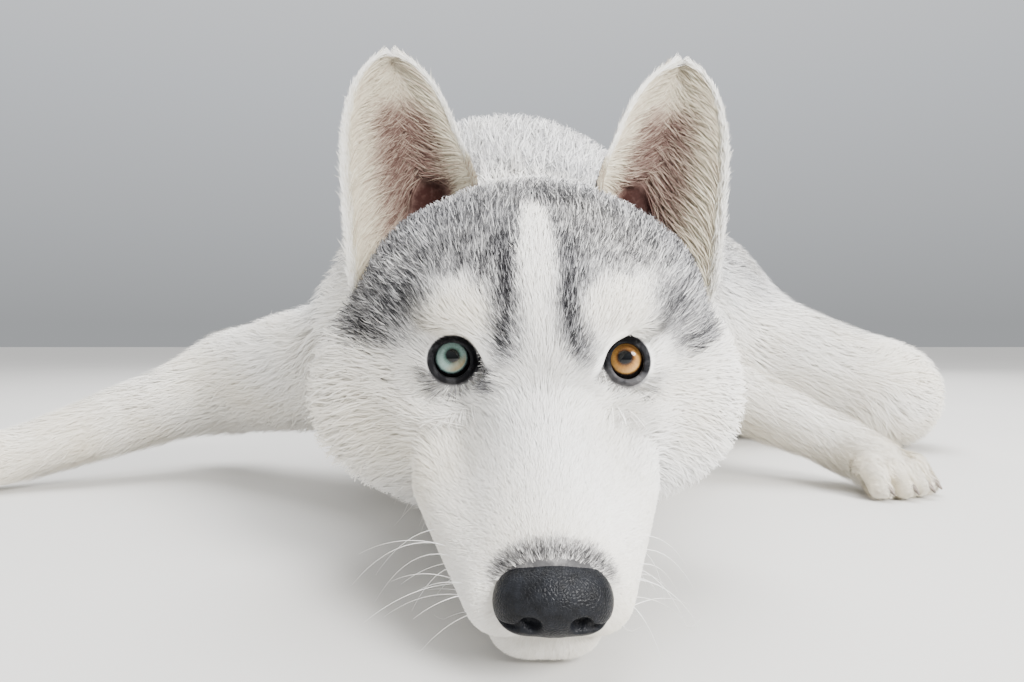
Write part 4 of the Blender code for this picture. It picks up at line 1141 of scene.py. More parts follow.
def iris_material(side):
    """A wet eyeball: pupil off the middle, streaked iris with a second colour on one side, dark ring and rim."""
    looks = EYE_LOOKS[side]
    material, tree, place = shader_of(f"iris_{side}", 0.03, 0.36)
    parts = node(tree, "ShaderNodeSeparateXYZ", {"Vector": place})
    x, y = parts.outputs["X"], parts.outputs["Y"]
    # The pupil's shift fades out towards the iris's edge.
    inward = ranged(tree, length_of(tree, x, y), 0.0, IRIS_RADIUS, -1.0, 0.0)
    x, y = (maths(tree, "MULTIPLY_ADD", inward, shift, value) for shift, value in zip(looks["pupil"], (x, y)))
    radius = length_of(tree, x, y)
    angle = maths(tree, "ARCTAN2", y, x)
    spokes = {"X": maths(tree, "COSINE", angle), "Y": maths(tree, "SINE", angle)}
    spokes["Z"] = maths(tree, "MULTIPLY", radius, 60.0)
    spokes = node(tree, "ShaderNodeCombineXYZ", spokes).outputs[0]
    streak = noise_of(tree, spokes, 11.0, 5.0, roughness=0.7)
    wobble = maths(tree, "MULTIPLY", maths(tree, "SUBTRACT", streak, 0.5), 0.0009)
    share = maths(tree, "DIVIDE", maths(tree, "ADD", radius, wobble), IRIS_REACH)
    colour = ramp(tree, share, looks["stops"])
    across, up = (maths(tree, "MULTIPLY", value, part) for value, part in zip((x, y), looks["accent_side"]))
    toward = ranged(tree, maths(tree, "ADD", across, up), 0.0018, 0.0048)
    inside = ranged(tree, radius, 0.0060, 0.0054)
    outside = ranged(tree, radius, PUPIL_RADIUS, 0.0030)
    factor = maths(tree, "MULTIPLY", maths(tree, "MULTIPLY", toward, inside), outside)
    colour = mixed(tree, maths(tree, "MULTIPLY", factor, 0.85), colour, looks["accent"])
    streaks = ramp(tree, streak, ((0.30, (0.72, 0.72, 0.72)), (0.70, (1.0, 1.0, 1.0))))
    return finished(material, mixed(tree, 1.0, colour, streaks, "MULTIPLY"))


def nose_material():
    """Slate-black leather with small pebbles and a damp, bluish sheen."""
    material, tree, place = shader_of("nose_leather", 0.42, 0.16)
    inputs = {"Vector": place, "Scale": 900.0}
    cells = node(tree, "ShaderNodeTexVoronoi", inputs, feature="DISTANCE_TO_EDGE").outputs["Distance"]
    noise = noise_of(tree, place, 300.0, 4.0)
    colour = ramp(tree, noise, ((0.30, (0.002, 0.0022, 0.003)), (0.70, (0.009, 0.010, 0.013))))
    height = maths(tree, "ADD", ranged(tree, cells, 0.0, 0.25), maths(tree, "MULTIPLY", noise, 0.6))
    return finished(material, colour, height, 0.40, 0.0003)


def claw_material():
    """Dark horn, paler in places, with fine grain."""
    material, tree, place = shader_of("claw_horn", 0.38, 0.5, Coat_Weight=0.2, Coat_Roughness=0.25)
    grain = noise_of(tree, place, 420.0, 4.0)
    colour = ramp(tree, grain, ((0.35, (0.10, 0.080, 0.066)), (0.65, (0.28, 0.235, 0.20))))
    return finished(material, colour, grain, 0.3, 0.0003)


def whisker_material():
    """Stiff, glossy white hair."""
    material, tree, place = shader_of("whisker", 0.35, 0.5)
    noise = noise_of(tree, place, 40.0, 2.0)
    return finished(material, ramp(tree, noise, ((0.3, (0.80, 0.79, 0.76)), (0.7, (0.93, 0.93, 0.92)))))


def floor_material(colour):
    """Matt floor, a little uneven in tone."""
    material, tree, place = shader_of("pale_floor", 0.75, 0.2)
    noise = noise_of(tree, place, 3.0, 3.0)
    return finished(material, ramp(tree, noise, ((0.3, tuple(0.97 * c for c in colour)), (0.7, colour))))


# The parts of the body, in the order that forms gives them in.
PARTS = ("head", "trunk", "foreleg_left", "foreleg_right", "hind_leg_left", "hind_leg_right", "tail")
LEG_NODES = ("upper_arm", "forearm", "forepaw", "thigh", "hind_foot")
HEAD_BOX = ((-0.130, -0.004, -0.004), (0.130, 0.222, 0.215))
BODY_BOX = ((-0.500, 0.190, -0.004), (0.520, 1.150, 0.300))

# What the pieces share, worked out once.
shared = {}


def dressed_skin():
    """The whole skin with its unwrap, its normals, and the lie and the length of its hair."""
    if "skin" in shared:
        return shared["skin"]
    settings = bpy.context.scene.husky_skin
    coarseness = 1.0
    points, triangles = surface(head_skin, *HEAD_BOX, settings.head_step * coarseness)
    eyes = [HEAD @ Vector((EYE.x * sign, EYE.y - 0.006, EYE.z + 0.002)) for sign in (-1, 1)]
    points, triangles = finer_near(points, triangles, eyes, 0.019)
    points = settled_on(head_skin, points, 0.0008)
    body_points, body_triangles = surface(body_skin, *BODY_BOX, settings.body_step * coarseness)
    body_points = settled_on(body_skin, body_points, 0.003, 1)
    triangles = np.concatenate((triangles, body_triangles + len(points)))
    points = np.concatenate((points, body_points))
    normals = vertex_normals(points, triangles)
    _, parts = forms(points)
    hair = hair_length(points, parts)
    part = parts[:, triangles].mean(2).argmin(0)
    a, b, c = (points[triangles[:, i]] for i in range(3))
    skin = {
        "points": points,
        "triangles": triangles,
        "normals": normals,
        "lie": lie_of(points, normals, parts),
        "hair": hair,
        "part": part,
        "uv": unwrapped(points, triangles, part),
        "area": np.linalg.norm(np.cross(b - a, c - a), axis=1) / 2,
        "middle": (a + b + c) / 3,
        "length": hair[triangles].mean(1),
    }
    skin["grows"] = growing(skin)
    shared["skin"] = skin
    return skin


def growing(skin):
    """Which triangles grow hair: not the lids' rims, the nose's bed, the seam or what lies on the floor."""
    middle = skin["middle"]
    p = in_head(middle)
    bare = (np.linalg.norm(from_eye(p), axis=1) < 0.020) & (lid_opening(p) < 0.0027)
    bare |= near_nose(p) < 0.0006
    underside = skin["normals"][skin["triangles"]].mean(1)[:, 2] < -0.75
    bare |= (middle[:, 2] < 0.0025) | ((middle[:, 2] < 0.012) & underside)
    seam = np.abs(middle[:, 1] - NECK_SEAM) < 0.0004
    seam |= np.abs(middle[:, 1] - (NECK_SEAM - NECK_LAP)) < 0.0008
    inside_neck = ball(middle, (-0.007, NECK_SEAM, 0.115), (0.062, 0.030, 0.062)) < 0
    return ~(bare | (seam & inside_neck)) & (p[:, 1] > -0.01)


def on_part(name):
    """Which triangles of the skin are on a part of the body."""
    return dressed_skin()["part"] == PARTS.index(name)


def shorter_than(length):
    """Which triangles of the skin have hair shorter than this."""
    return dressed_skin()["length"] < length


def width_for(length):
    """How wide a hair's ribbon is, by its length."""
    return np.interp(length, *zip(*HAIR_WIDTHS))


def grow(name, region, segments, slot, seed, cover=1.0, lift=None, **style):
    """Covers a region of the skin with hair, in as many pieces as its count of triangles needs."""
    skin = dressed_skin()
    settings = bpy.context.scene.husky_coat
    rng = np.random.default_rng(settings.seed + seed)
    covered = skin["length"] * width_for(skin["length"]) * 0.6  # the skin that one hair hides
    weights = skin["area"] * (region & skin["grows"]) / covered
    count = int(weights.sum() * settings.cover * cover * (1.0))
    roots = chosen_roots(rng, skin, weights, count)
    parts = max(1, math.ceil(count * (2 * segments - 1) / PIECE_LIMIT))
    order = np.argsort(roots["place"][:, 0], kind="stable")
    for number, chosen in enumerate(np.array_split(order, parts)):
        some = {key: value[chosen] for key, value in roots.items()}
        title = name if parts == 1 else f"{name}_{number + 1}"
        coat_piece(title, rng, some, width_for(some["hair"]), segments, lift or settings.lift, slot, **style)


# Settings.


def colour_setting(name, description, default):
    """A colour among the settings."""
    return FloatVectorProperty(name=name, description=description, subtype="COLOR", size=3, default=default)


class SkinSettings(bpy.types.PropertyGroup):
    head_step: FloatProperty(
        name="Head Detail", description="Grid of the skin on the head", default=0.0015, min=0.0008, unit="LENGTH"
    )
    body_step: FloatProperty(
        name="Body Detail", description="Grid of the skin on the body", default=0.0045, min=0.002, unit="LENGTH"
    )


class CoatSettings(bpy.types.PropertyGroup):
    cover: FloatProperty(name="Cover", description="Layers of hair over the skin", default=3.0, min=0.2)
    lift: FloatProperty(
        name="Lift", description="Height of the hairs' ends as a share of their length", default=0.31, min=0.0
    )
    seed: IntProperty(name="Seed", description="Start of the random draws", default=7)
    white: colour_setting("White", "Colour of the white hair", (0.93, 0.925, 0.91))
    silver: colour_setting("Silver", "Colour of the silver hair", (0.36, 0.36, 0.375))
    charcoal: colour_setting("Charcoal", "Colour of the dark hair", (0.075, 0.075, 0.082))
    black: colour_setting("Black", "Colour of rims and lips", (0.006, 0.006, 0.008))
    # The cream also tints the painted shade on the right cheek.
    cream: colour_setting("Cream", "Tint of the warm white hair", (0.95, 0.89, 0.76))


class StageSettings(bpy.types.PropertyGroup):
    floor: colour_setting("Floor", "Colour of the floor", (0.62, 0.61, 0.59))
    light: FloatProperty(name="Light", description="Strength of the studio lights", default=1.0, min=0.0)


# Pieces.


class HUSKY_OT_stage(bpy.types.Operator):
    """Pale floor, soft lights and the camera"""

    bl_idname = "husky.stage"
    bl_label = "Stage"

    def execute(self, context):
        settings = context.scene.husky_stage
        self.add_floor(tuple(settings.floor))
        self.add_sky(context.scene, settings.light)
        for name, lamp in LAMPS.items():
            self.add_lamp(context.scene, name, settings.light, *lamp)
        self.add_camera(context.scene)
        return {"FINISHED"}

    def add_floor(self, colour):
        body = bmesh.new()
        bmesh.ops.create_grid(body, x_segments=2, y_segments=2, size=14.0)
        floor = from_bmesh("floor", body, False)
        floor.data.materials.append(floor_material(colour))

    def add_sky(self, scene, light):
        scene.world = bpy.data.worlds.new("studio")
        scene.world.use_nodes = True
        tree = scene.world.node_tree
        background = tree.nodes["Background"]
        way = node(tree, "ShaderNodeTexCoord").outputs["Generated"]
        height = node(tree, "ShaderNodeSeparateXYZ", {"Vector": way}).outputs["Z"]
        tree.links.new(ramp(tree, height, SKY), background.inputs["Color"])
        background.inputs["Strength"].default_value = SKY_STRENGTH * light

    def add_lamp(self, scene, name, light, place, aim, size, power, colour):
        data = bpy.data.lights.new(name, "AREA")
        data.shape, data.size, data.energy, data.color = "DISK", size, power * light, colour
        lamp = bpy.data.objects.new(name, data)
        lamp.location = place
        lamp.rotation_euler = (Vector(aim) - Vector(place)).to_track_quat("-Z", "Y").to_euler()
        scene.collection.objects.link(lamp)

    def add_camera(self, scene):
        view = bpy.data.cameras.new("camera")
        view.lens, view.sensor_width = CAMERA_LENS, 36.0
        view.clip_start = 0.01
        camera = bpy.data.objects.new("camera", view)
        camera.location = CAMERA_PLACE + SHIFT
        camera.rotation_euler = (math.radians(90.0), 0.0, 0.0)
        scene.collection.objects.link(camera)
        scene.camera = camera


class HUSKY_OT_skin(bpy.types.Operator):
    """One skin under the whole coat, with lids, lips and toes"""

    bl_idname = "husky.skin"
    bl_label = "Skin"

    def execute(self, context):
        skin = dressed_skin()
        shade, warm = markings_and_cheek_shade(skin["points"], True)
        values = {"shade": shade, "warm": warm}
        piece = mesh_from("skin", skin["points"], skin["triangles"], skin["uv"].reshape(-1, 2), values)
        piece.data.materials.append(coat_material("skin_fur", True))
        nodes = ["head", "lower_jaw", "neck", "chest", "loin", "tail"]
        nodes += [f"{part}_{side}" for side in SIDES for part in LEG_NODES]
        placed(piece, "coat_white", *nodes)
        return {"FINISHED"}


class HUSKY_OT_coat_head(bpy.types.Operator):
    """Short hair on the face and longer hair on the cheeks"""

    bl_idname = "husky.coat_head"
    bl_label = "Coat of the Head"

    def execute(self, context):
        head, short = on_part("head"), shorter_than(0.013)
        grow("coat_head_face", head & short, 2, "coat_grey", 0, cover=1.9, lift=0.28, spread=0.13, clump=0.35)
        grow("coat_head_ruff", head & ~short, 3, "coat_white", 1, cover=1.8, lift=0.40, spread=0.20)
        return {"FINISHED"}


class HUSKY_OT_coat_body(bpy.types.Operator):
    """Plush hair on neck and trunk"""

    bl_idname = "husky.coat_body"
    bl_label = "Coat of the Body"

    def execute(self, context):
        trunk, ahead = on_part("trunk"), dressed_skin()["middle"][:, 1] < 0.42
        grow("coat_neck", trunk & ahead, 3, "coat_white", 2, cover=1.2, lift=0.36)
        grow("coat_trunk", trunk & ~ahead, 2, "coat_white", 3, cover=1.2)
        return {"FINISHED"}


class HUSKY_OT_coat_legs(bpy.types.Operator):
    """Hair on the legs, shortest on the toes"""

    bl_idname = "husky.coat_legs"
    bl_label = "Coat of the Legs"

    def execute(self, context):
        short = shorter_than(0.014)
        for number, name in enumerate(PARTS[2:6]):
            leg, seed = on_part(name), 4 + 2 * number
            grow(f"coat_{name}", leg & ~short, 2, "coat_white", seed, cover=0.9)
            grow(f"coat_{name}_foot", leg & short, 2, "coat_white", seed + 1, cover=0.8)
        return {"FINISHED"}


class HUSKY_OT_coat_tail(bpy.types.Operator):
    """Long hair of the brush"""

    bl_idname = "husky.coat_tail"
    bl_label = "Coat of the Tail"

    def execute(self, context):
        grow("coat_tail", on_part("tail"), 4, "coat_white", 30, cover=3.4, lift=0.40)
        return {"FINISHED"}


def ear_place(side, t, s, back):
    """Points of an ear: t rises from its base to its tip, s runs across it, back leads behind its inner side."""
    mirror = np.array((SIDES[side], 1.0, 1.0))
    root, tip, base, face = (np.array(v) * mirror for v in (EAR_ROOT, EAR_TIP, EAR_BASE_SIDE, EAR_FACE))
    face /= np.linalg.norm(face)
    flat = np.array((np.linalg.norm(base) * 0.78 * SIDES[side], 0.0, 0.0))
    t, s, back = np.broadcast_arrays(np.asarray(t, float), s, back)
    rise = np.maximum(t, 0.0)
    # The ear narrows to its round tip, and its slanted base turns level on the way up.
    share = np.maximum((1.0 - np.minimum(rise, 0.999) ** 3.1) ** 0.60, 0.03)
    turn = np.minimum(rise * 1.9, 1.0)[..., None]
    aside = (base * (1 - turn) + flat * turn) * share[..., None]
    bend = EAR_CUP * (1.0 - 0.80 * rise) * (1.0 - s * s) + back * (1.0 - 0.45 * np.abs(s) ** 3)
    place = root + (tip - root) * t[..., None] + aside * s[..., None] - face * bend[..., None]
    frame_of_ears = np.array(UPRIGHT)
    return place @ frame_of_ears[:3, :3].T + frame_of_ears[:3, 3]


def ear_sheet(t, s, middle):
    """Flat places of an ear's points, on the sheet round the given middle."""
    t, s = np.broadcast_arrays(t, s)
    return np.stack((s * 0.22 + middle, t * 0.7 + 0.25), -1).reshape(-1, 2)


def ear_tone_and_shade(t, s):
    """How deep the colour is inside an ear: cream at its rim, mauve in the middle, dark where the canal opens.
    Besides the ear's own colours, this holds painted shade inside the cup, in the middle, the canal and the pocket at
    its foot.
    """
    middle = np.exp(-((s / 0.72) ** 4)) * eased(-0.05, 0.15, t) * eased(0.96, 0.62, t) * 0.74
    canal = np.exp(-(((t - 0.20) / 0.20) ** 2) - (((s + 0.16) / 0.46) ** 2)) * 1.35
    pocket = 0.45 * np.exp(-(((t - 0.02) / 0.05) ** 2) - (((s - 0.62) / 0.13) ** 2))
    rim = 0.33 * eased(1.03, 0.90, np.abs(s))
    return np.clip(np.maximum(np.maximum(middle, canal), np.maximum(pocket, rim)), 0.0, 1.0)


# Stations of an ear's hair, and the sheets of its two sides.
EAR_STEPS = (0.0, 0.35, 0.7, 1.0)
INNER_SHEET, OUTER_SHEET = 0.25, 0.75


class HUSKY_OT_ears(bpy.types.Operator):
    """Cupped ears with long hair inside and a white fringe"""

    bl_idname = "husky.ears"
    bl_label = "Ears"

    def execute(self, context):
        rng = np.random.default_rng(context.scene.husky_coat.seed + 50)
        hair = ear_material("ear_hair")
        for side in SIDES:
            self.make_shell(side, hair)
            self.make_inner_hair(side, hair, rng)
            self.make_outer_hair(side, rng)
        return {"FINISHED"}

    def make_shell(self, side, material):
        """The gristle: an inner and an outer sheet, joined round the rim."""
        rows, columns = 44, 33
        t = np.linspace(*EAR_ENDS, rows)[:, None]
        s = np.linspace(-EAR_WIDTH, EAR_WIDTH, columns)[None]
        points = np.concatenate([ear_place(side, t, s, back).reshape(-1, 3) for back in (EAR_FRONT, EAR_REAR)])
        sheet = rows * columns
        grid = np.arange(sheet).reshape(rows, columns)
        a, b, c, d = (corners.ravel() for corners in (grid[:-1, :-1], grid[:-1, 1:], grid[1:, 1:], grid[1:, :-1]))
        e, f, g, h = (corners + sheet for corners in (a, b, c, d))
        rim = np.concatenate((grid[0], grid[1:, -1], grid[-1, -2::-1], grid[-2:0:-1, 0]))
        after = np.roll(rim, -1)
        faces = [(a, b, c), (a, c, d), (g, f, e), (h, g, e)]
        faces += [(rim, rim + sheet, after + sheet), (rim, after + sheet, after)]
        triangles = np.concatenate([np.stack(face, 1) for face in faces])
        if side == "right":
            triangles = triangles[:, ::-1]
        # The inner sheet takes the ear's colour with its painted shade; the outer sheet is pale.
        tone_and_shade = np.concatenate((ear_tone_and_shade(t, s).ravel(), np.full(sheet, 0.10)))
        uv = np.concatenate([ear_sheet(t, s, middle) for middle in (INNER_SHEET, OUTER_SHEET)])
        piece = mesh_from(f"ear_{side}_shell", points, triangles, uv[triangles].reshape(-1, 2), {"tone_and_shade": tone_and_shade})
        piece.data.materials.append(material)
        placed(piece, "ear", f"ear_{side}")

    def bowed_hairs(self, rng, roots, ends, normal, lift):
        """Points of hairs from roots to ends, bowed away from the ear."""
        way = ends - roots
        length = np.linalg.norm(way, axis=1)
        across = np.cross(way, normal)
        across /= np.linalg.norm(across, axis=1)[:, None] + 1e-9
        sway = rng.normal(0.0, 0.10, len(roots)) * length
        middles = []
        for t in EAR_STEPS:
            arch = lift * 4.0 * t * (1.0 - 0.72 * t)
            middles.append(roots + way * t + normal * (arch * length)[:, None] + across * (sway * t * t)[:, None])
        return ribbons(middles, [across * (EAR_HAIR_WIDTH * 0.5 * share) for share in (0.8, 1.0, 0.7)])

    def make_inner_hair(self, side, material, rng):
        """Hair that leans in from both edges over the cup, and a fringe that leans out over them."""
        count = int(EAR_HAIRS["inner"] * (1.0))
        t = rng.uniform(-0.08, 0.95, count)
        edge = rng.uniform(0.0, 1.0, count)
        s = np.where(rng.uniform(size=count) < 0.5, 1.0, -1.0) * (1.0 - 0.98 * edge**1.6) * 0.97
        reach = rng.uniform(0.05, 0.17, count)
        inward = -np.sign(s) * rng.uniform(0.10, 0.50, count) * eased(0.0, 0.3, np.abs(s))
        end_t, end_s = np.minimum(t + reach, 0.99), np.clip(s + inward, -0.95, 0.95)
        dark = np.maximum(ear_tone_and_shade(t, s), ear_tone_and_shade(end_t, end_s))
        keep = rng.uniform(size=count) > eased(0.66, 0.90, dark)
        t, s, end_t, end_s = t[keep], s[keep], end_t[keep], end_s[keep]
        fringe = len(t) // 2
        fringe_t, fringe_s = rng.uniform(-0.05, 0.97, fringe), rng.choice((-1.0, 1.0), fringe)
        t = np.concatenate((t, fringe_t))
        s = np.concatenate((s, fringe_s * rng.uniform(0.84, 0.985, fringe)))
        end_t = np.concatenate((end_t, fringe_t + rng.uniform(0.04, 0.10, fringe)))
        end_s = np.concatenate((end_s, fringe_s * rng.uniform(0.94, 1.03, fringe)))
        end_t = np.minimum(end_t, 1.01)
        count = len(t)
        roots = ear_place(side, t, s, 0.0014)
        ends = ear_place(side, end_t, end_s, 0.0004)
        ahead = ear_place(side, t, s, -0.004) - roots
        ahead /= np.linalg.norm(ahead, axis=1)[:, None]
        along = along_ribbon(EAR_STEPS)
        # Each hair takes the ear's colour with its painted shade along its length.
        tone_and_shade = ear_tone_and_shade(t[:, None] + (end_t - t)[:, None] * along, s[:, None] + (end_s - s)[:, None] * along)
        tone_and_shade = tone_and_shade * rng.uniform(0.75, 1.20, count)[:, None] + 0.04 * rng.normal(size=count)[:, None]
        # The fringe is paler, but for the foot of the edge towards the skull.
        foot = 0.55 * eased(0.36, 0.16, t[-fringe:]) * (fringe_s < 0.0) * rng.uniform(0.3, 1.0, fringe)
        tone_and_shade[-fringe:] = np.maximum(0.62 * tone_and_shade[-fringe:], foot[:, None])
        points = self.bowed_hairs(rng, roots, ends, ahead, 0.07)
        values = {"tone_and_shade": np.clip(tone_and_shade, 0, 1)}
        ribbon_piece(f"ear_{side}_inner_hair", points, ear_sheet(t, s, INNER_SHEET), values, material, "ear")

    def make_outer_hair(self, side, rng):
        """Short fur on the back of the ear, which leans out past its edges."""
        count = int(EAR_HAIRS["outer"] * (1.0))
        t = rng.uniform(-0.10, 0.985, count)
        s = np.clip(np.sin(rng.uniform(-1.0, 1.0, count) * 0.5 * math.pi), -0.98, 0.98)
        roots = ear_place(side, t, s, 0.0029)
        ends = ear_place(side, np.minimum(t + rng.uniform(0.05, 0.10, count), 1.02), s * 1.03, 0.0050)
        behind = ear_place(side, t, s, 0.010) - roots
        behind /= np.linalg.norm(behind, axis=1)[:, None]
        outward = ear_place(side, t, s * 1.1 + 0.001, 0.003) - ear_place(side, t, s, 0.003)
        outward *= np.sign(s)[:, None] / (np.linalg.norm(outward, axis=1)[:, None] + 1e-9)
        edge = eased(0.86, 0.98, np.abs(s)) * rng.uniform(0.3, 1.0, count)
        ends = ends + outward * (edge * 0.0014)[:, None]
        grey = 0.08 + 0.40 * rng.uniform(size=count) * eased(0.9, 0.5, np.abs(s))
        foot = eased(-0.80, -0.95, s) * eased(0.42, 0.22, t)
        grey = np.maximum(grey, 0.75 * rng.uniform(0.3, 1.0, count) * foot)
        points = self.bowed_hairs(rng, roots, ends, behind, 0.08)
        values = {"shade": grey, "warm": np.full(count, 0.25)}
        ribbon_piece(f"ear_{side}_outer_hair", points, ear_sheet(t, s, OUTER_SHEET), values, coat_hair(), "ear")


class HUSKY_OT_eyes(bpy.types.Operator):
    """One pale blue eye and one amber eye, both turned to the viewer"""

    bl_idname = "husky.eyes"
    bl_label = "Eyes"

    def execute(self, context):
        for side, looks in EYE_LOOKS.items():
            sign = SIDES[side]
            centre = HEAD @ Vector((EYES[sign].x * sign, EYES[sign].y, EYES[sign].z))
            aside, up = looks["aim"]
            gaze = (CAMERA_PLACE - centre).normalized() + Vector((aside, 0.0, up)) * 0.001 / EYE_RADIUS
            gaze.normalize()
            across = Vector((1.0, 0.0, 0.0))
            across = (across - gaze * across.dot(gaze)).normalized()
            body = bmesh.new()
            bmesh.ops.create_uvsphere(body, u_segments=64, v_segments=40, radius=1.0)
            for vertex in body.verts:
                bulge = max(vertex.co.z - 0.80, 0.0) / 0.20  # the cornea
                vertex.co *= EYE_RADIUS * (1.0 + 0.050 * bulge * bulge * (3 - 2 * bulge)) - 0.0001
            piece = from_bmesh(f"eyeball_{side}", body)
            turn = Matrix((across, gaze.cross(across), gaze)).transposed().to_4x4()
            piece.matrix_world = Matrix.Translation(centre + SHIFT) @ turn
            piece.data.materials.append(iris_material(side))
            placed(piece, looks["slot"], f"eye_{side}")
        return {"FINISHED"}


def nose_form(points):
    """The bare pad, with a comma-shaped nostril on each side and the groove below."""
    p = folded(in_head(points))
    field = ball(p, NOSE_MIDDLE, NOSE_RADII)
    field = merge(field, ball(p, (0.0105, 0.0125, -0.0090), (0.0090, 0.0100, 0.0100)), 0.004)
    field = carve(field, ball(p, (0.0080, 0.0010, -0.0100), (0.0036, 0.0056, 0.0030)), 0.0015)
    field = carve(field, limb(p, (0.0108, 0.0022, -0.0115), (0.0168, 0.0080, -0.0130), 0.0017, 0.0012), 0.0012)
    return carve(field, limb(p, (0.0, -0.0010, -0.0125), (0.0, 0.0060, -0.0220), 0.0008, 0.0014), 0.0012)


class HUSKY_OT_nose(bpy.types.Operator):
    """Leathery nose pad with its nostrils"""

    bl_idname = "husky.nose"
    bl_label = "Nose"

    def execute(self, context):
        points, triangles = surface(nose_form, (-0.030, -0.006, -0.005), (0.030, 0.045, 0.060), 0.0007)
        points = settled_on(nose_form, points, 0.0003)
        piece = mesh_from("nose_leather", points, triangles)
        piece.data.materials.append(nose_material())
        placed(piece, "nose_pad", "nose")
        return {"FINISHED"}


def rod(body, middle, radii, sides):
    """Adds a closed tube through the middle points."""
    rings = []
    for i, point in enumerate(middle):
        ahead = (middle[min(i + 1, len(middle) - 1)] - middle[max(i - 1, 0)]).normalized()
        turn = ahead.to_track_quat("Z", "Y").to_matrix()
        angles = [2 * math.pi * k / sides for k in range(sides)]
        circle = [Vector((math.cos(angle), math.sin(angle), 0)) for angle in angles]
        rings.append([body.verts.new(point + turn @ spoke * radii[i]) for spoke in circle])
    for a, b in zip(rings, rings[1:]):
        for k in range(sides):
            body.faces.new((a[k], a[(k + 1) % sides], b[(k + 1) % sides], b[k]))
    body.faces.new(rings[0][::-1])
    body.faces.new(rings[-1])


class HUSKY_OT_claws(bpy.types.Operator):
    """Blunt, curved claws on all four feet"""

    bl_idname = "husky.claws"
    bl_label = "Claws"

    def execute(self, context):
        body = bmesh.new()
        nodes = []
        for side in SIDES:
            for pair, legs in (("fore", FORELEGS), ("hind", HIND_LEGS)):
                for number, place in enumerate(TOES):
                    self.claw(body, place, *legs[side][-2:])
                    nodes.append(f"claw_{pair}_{side}_{number + 1}")
        piece = from_bmesh("claws", body)
        piece.data.materials.append(claw_material())
        placed(piece, "claw", *nodes)
        return {"FINISHED"}

    def claw(self, body, toe, wrist, knuckles):
        """One claw, from inside its toe on and down."""
        ahead, aside = toe_line(wrist, knuckles)
        root = np.array(knuckles) + aside * toe * TOE_SPREAD * 1.10 + ahead * (toe_reach(toe) + 0.0060)
        way = ahead + aside * toe * 0.06
        way /= np.linalg.norm(way)
        middle, radii = [], []
        for i in range(9):
            t = i / 8
            place = root + way * (CLAW_LENGTH * t - 0.008)
            place[2] = 0.0120 + 0.0010 * math.sin(math.pi * t) - 0.0065 * t * t
            middle.append(Vector(place) + SHIFT)
            radii.append(CLAW_RADIUS * (1.0 - 0.12 * t - 0.66 * t**3))
        rod(body, middle, radii, 12)


# Rows of whiskers, hairs in a row, y and z of the first one, the same from row to row and hair to hair, and length.
WHISKERS = {
    "muzzle": (3, 4, (0.024, -0.023), (0.0, 0.0062), (0.0100, 0.0), 0.036),
    "chin": (1, 3, (0.045, -0.040), (0.0, 0.004), (0.012, 0.0), 0.026),
}


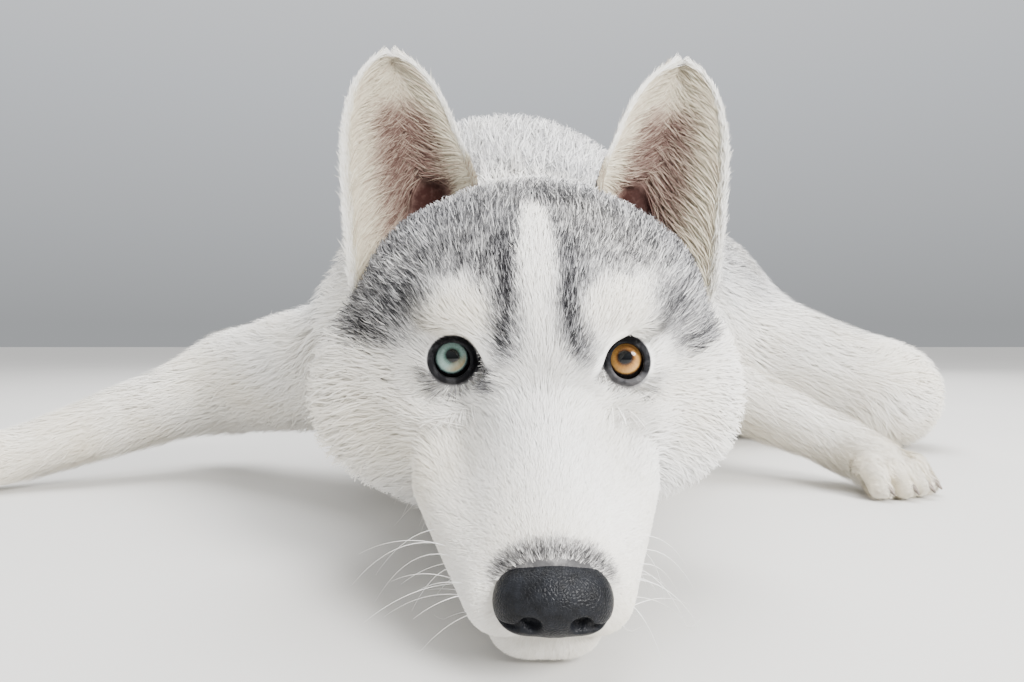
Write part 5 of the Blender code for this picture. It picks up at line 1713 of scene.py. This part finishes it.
class HUSKY_OT_whiskers(bpy.types.Operator):
    """Long white whiskers on the muzzle and chin"""

    bl_idname = "husky.whiskers"
    bl_label = "Whiskers"

    def execute(self, context):
        rng = np.random.default_rng(context.scene.husky_coat.seed + 70)
        body = bmesh.new()
        for rows, count, start, row_step, hair_step, length in WHISKERS.values():
            for sign, row, i in ((sign, row, i) for sign in (-1.0, 1.0) for row in range(rows) for i in range(count)):
                y = start[0] + row_step[0] * row + hair_step[0] * i + rng.normal(0, 0.0012)
                z = start[1] + row_step[1] * row + hair_step[1] * i + rng.normal(0, 0.0010)
                self.whisker(body, sign, y, z, length * rng.uniform(0.45, 1.25), rng)
        piece = from_bmesh("whiskers", body)
        piece.data.materials.append(whisker_material())
        placed(piece, "coat_white")
        return {"FINISHED"}

    def whisker(self, body, sign, y, z, length, rng):
        """One whisker, from the side of the muzzle out, back and down."""
        x = 0.055
        for _ in range(24):
            depth = float(bare_skin(np.array([HEAD @ Vector((sign * x, y, z))]), True)[0])
            x -= depth * 0.8
            if abs(depth) < 1e-4:
                break
        way = Vector((sign * 0.72, 0.20 + rng.uniform(-0.35, 0.40), -0.20 + rng.uniform(-0.35, 0.30))).normalized()
        droop = rng.uniform(0.45, 1.20)
        back = rng.uniform(0.0, 0.35)
        middle, radii = [], []
        for i in range(11):
            t = i / 10
            place = Vector((sign * (x - 0.001), y, z)) + way * length * t
            place += Vector((0.0, back, -droop)) * length * t * t
            place = HEAD @ place
            place.z = max(place.z, 0.0012)
            middle.append(place + SHIFT)
            radii.append(0.00022 * (1.0 - 0.86 * t))
        rod(body, middle, radii, 4)


class HUSKY_PT_panel(bpy.types.Panel):
    """Lists the pieces of the husky"""

    bl_idname = "HUSKY_PT_panel"
    bl_label = "Husky"
    bl_space_type = "VIEW_3D"
    bl_region_type = "UI"
    bl_category = "Husky"

    def draw(self, context):
        layout = self.layout
        for group in (context.scene.husky_skin, context.scene.husky_coat, context.scene.husky_stage):
            column = layout.column(align=True)
            for name in group.bl_rna.properties.keys():
                if name not in {"rna_type", "name"}:
                    column.prop(group, name)
        for operator in OPERATORS:
            layout.operator(operator.bl_idname)


SETTINGS = {"husky_skin": SkinSettings, "husky_coat": CoatSettings, "husky_stage": StageSettings}
OPERATORS = (
    HUSKY_OT_stage,
    HUSKY_OT_skin,
    HUSKY_OT_coat_head,
    HUSKY_OT_coat_body,
    HUSKY_OT_coat_legs,
    HUSKY_OT_coat_tail,
    HUSKY_OT_ears,
    HUSKY_OT_eyes,
    HUSKY_OT_nose,
    HUSKY_OT_claws,
    HUSKY_OT_whiskers,
)


def register():
    for group in SETTINGS.values():
        bpy.utils.register_class(group)
    for name, group in SETTINGS.items():
        setattr(bpy.types.Scene, name, PointerProperty(type=group))
    for entry in (*OPERATORS, HUSKY_PT_panel):
        bpy.utils.register_class(entry)


def unregister():
    for entry in (HUSKY_PT_panel, *reversed(OPERATORS)):
        bpy.utils.unregister_class(entry)
    for name, group in reversed(list(SETTINGS.items())):
        delattr(bpy.types.Scene, name)
        bpy.utils.unregister_class(group)


def main():
    register()
    bpy.ops.husky.stage()
    bpy.ops.husky.skin()
    bpy.ops.husky.coat_head()
    bpy.ops.husky.coat_body()
    bpy.ops.husky.coat_legs()
    bpy.ops.husky.coat_tail()
    bpy.ops.husky.ears()
    bpy.ops.husky.eyes()
    bpy.ops.husky.nose()
    bpy.ops.husky.claws()
    bpy.ops.husky.whiskers()


if __name__ == "__main__":
    main()
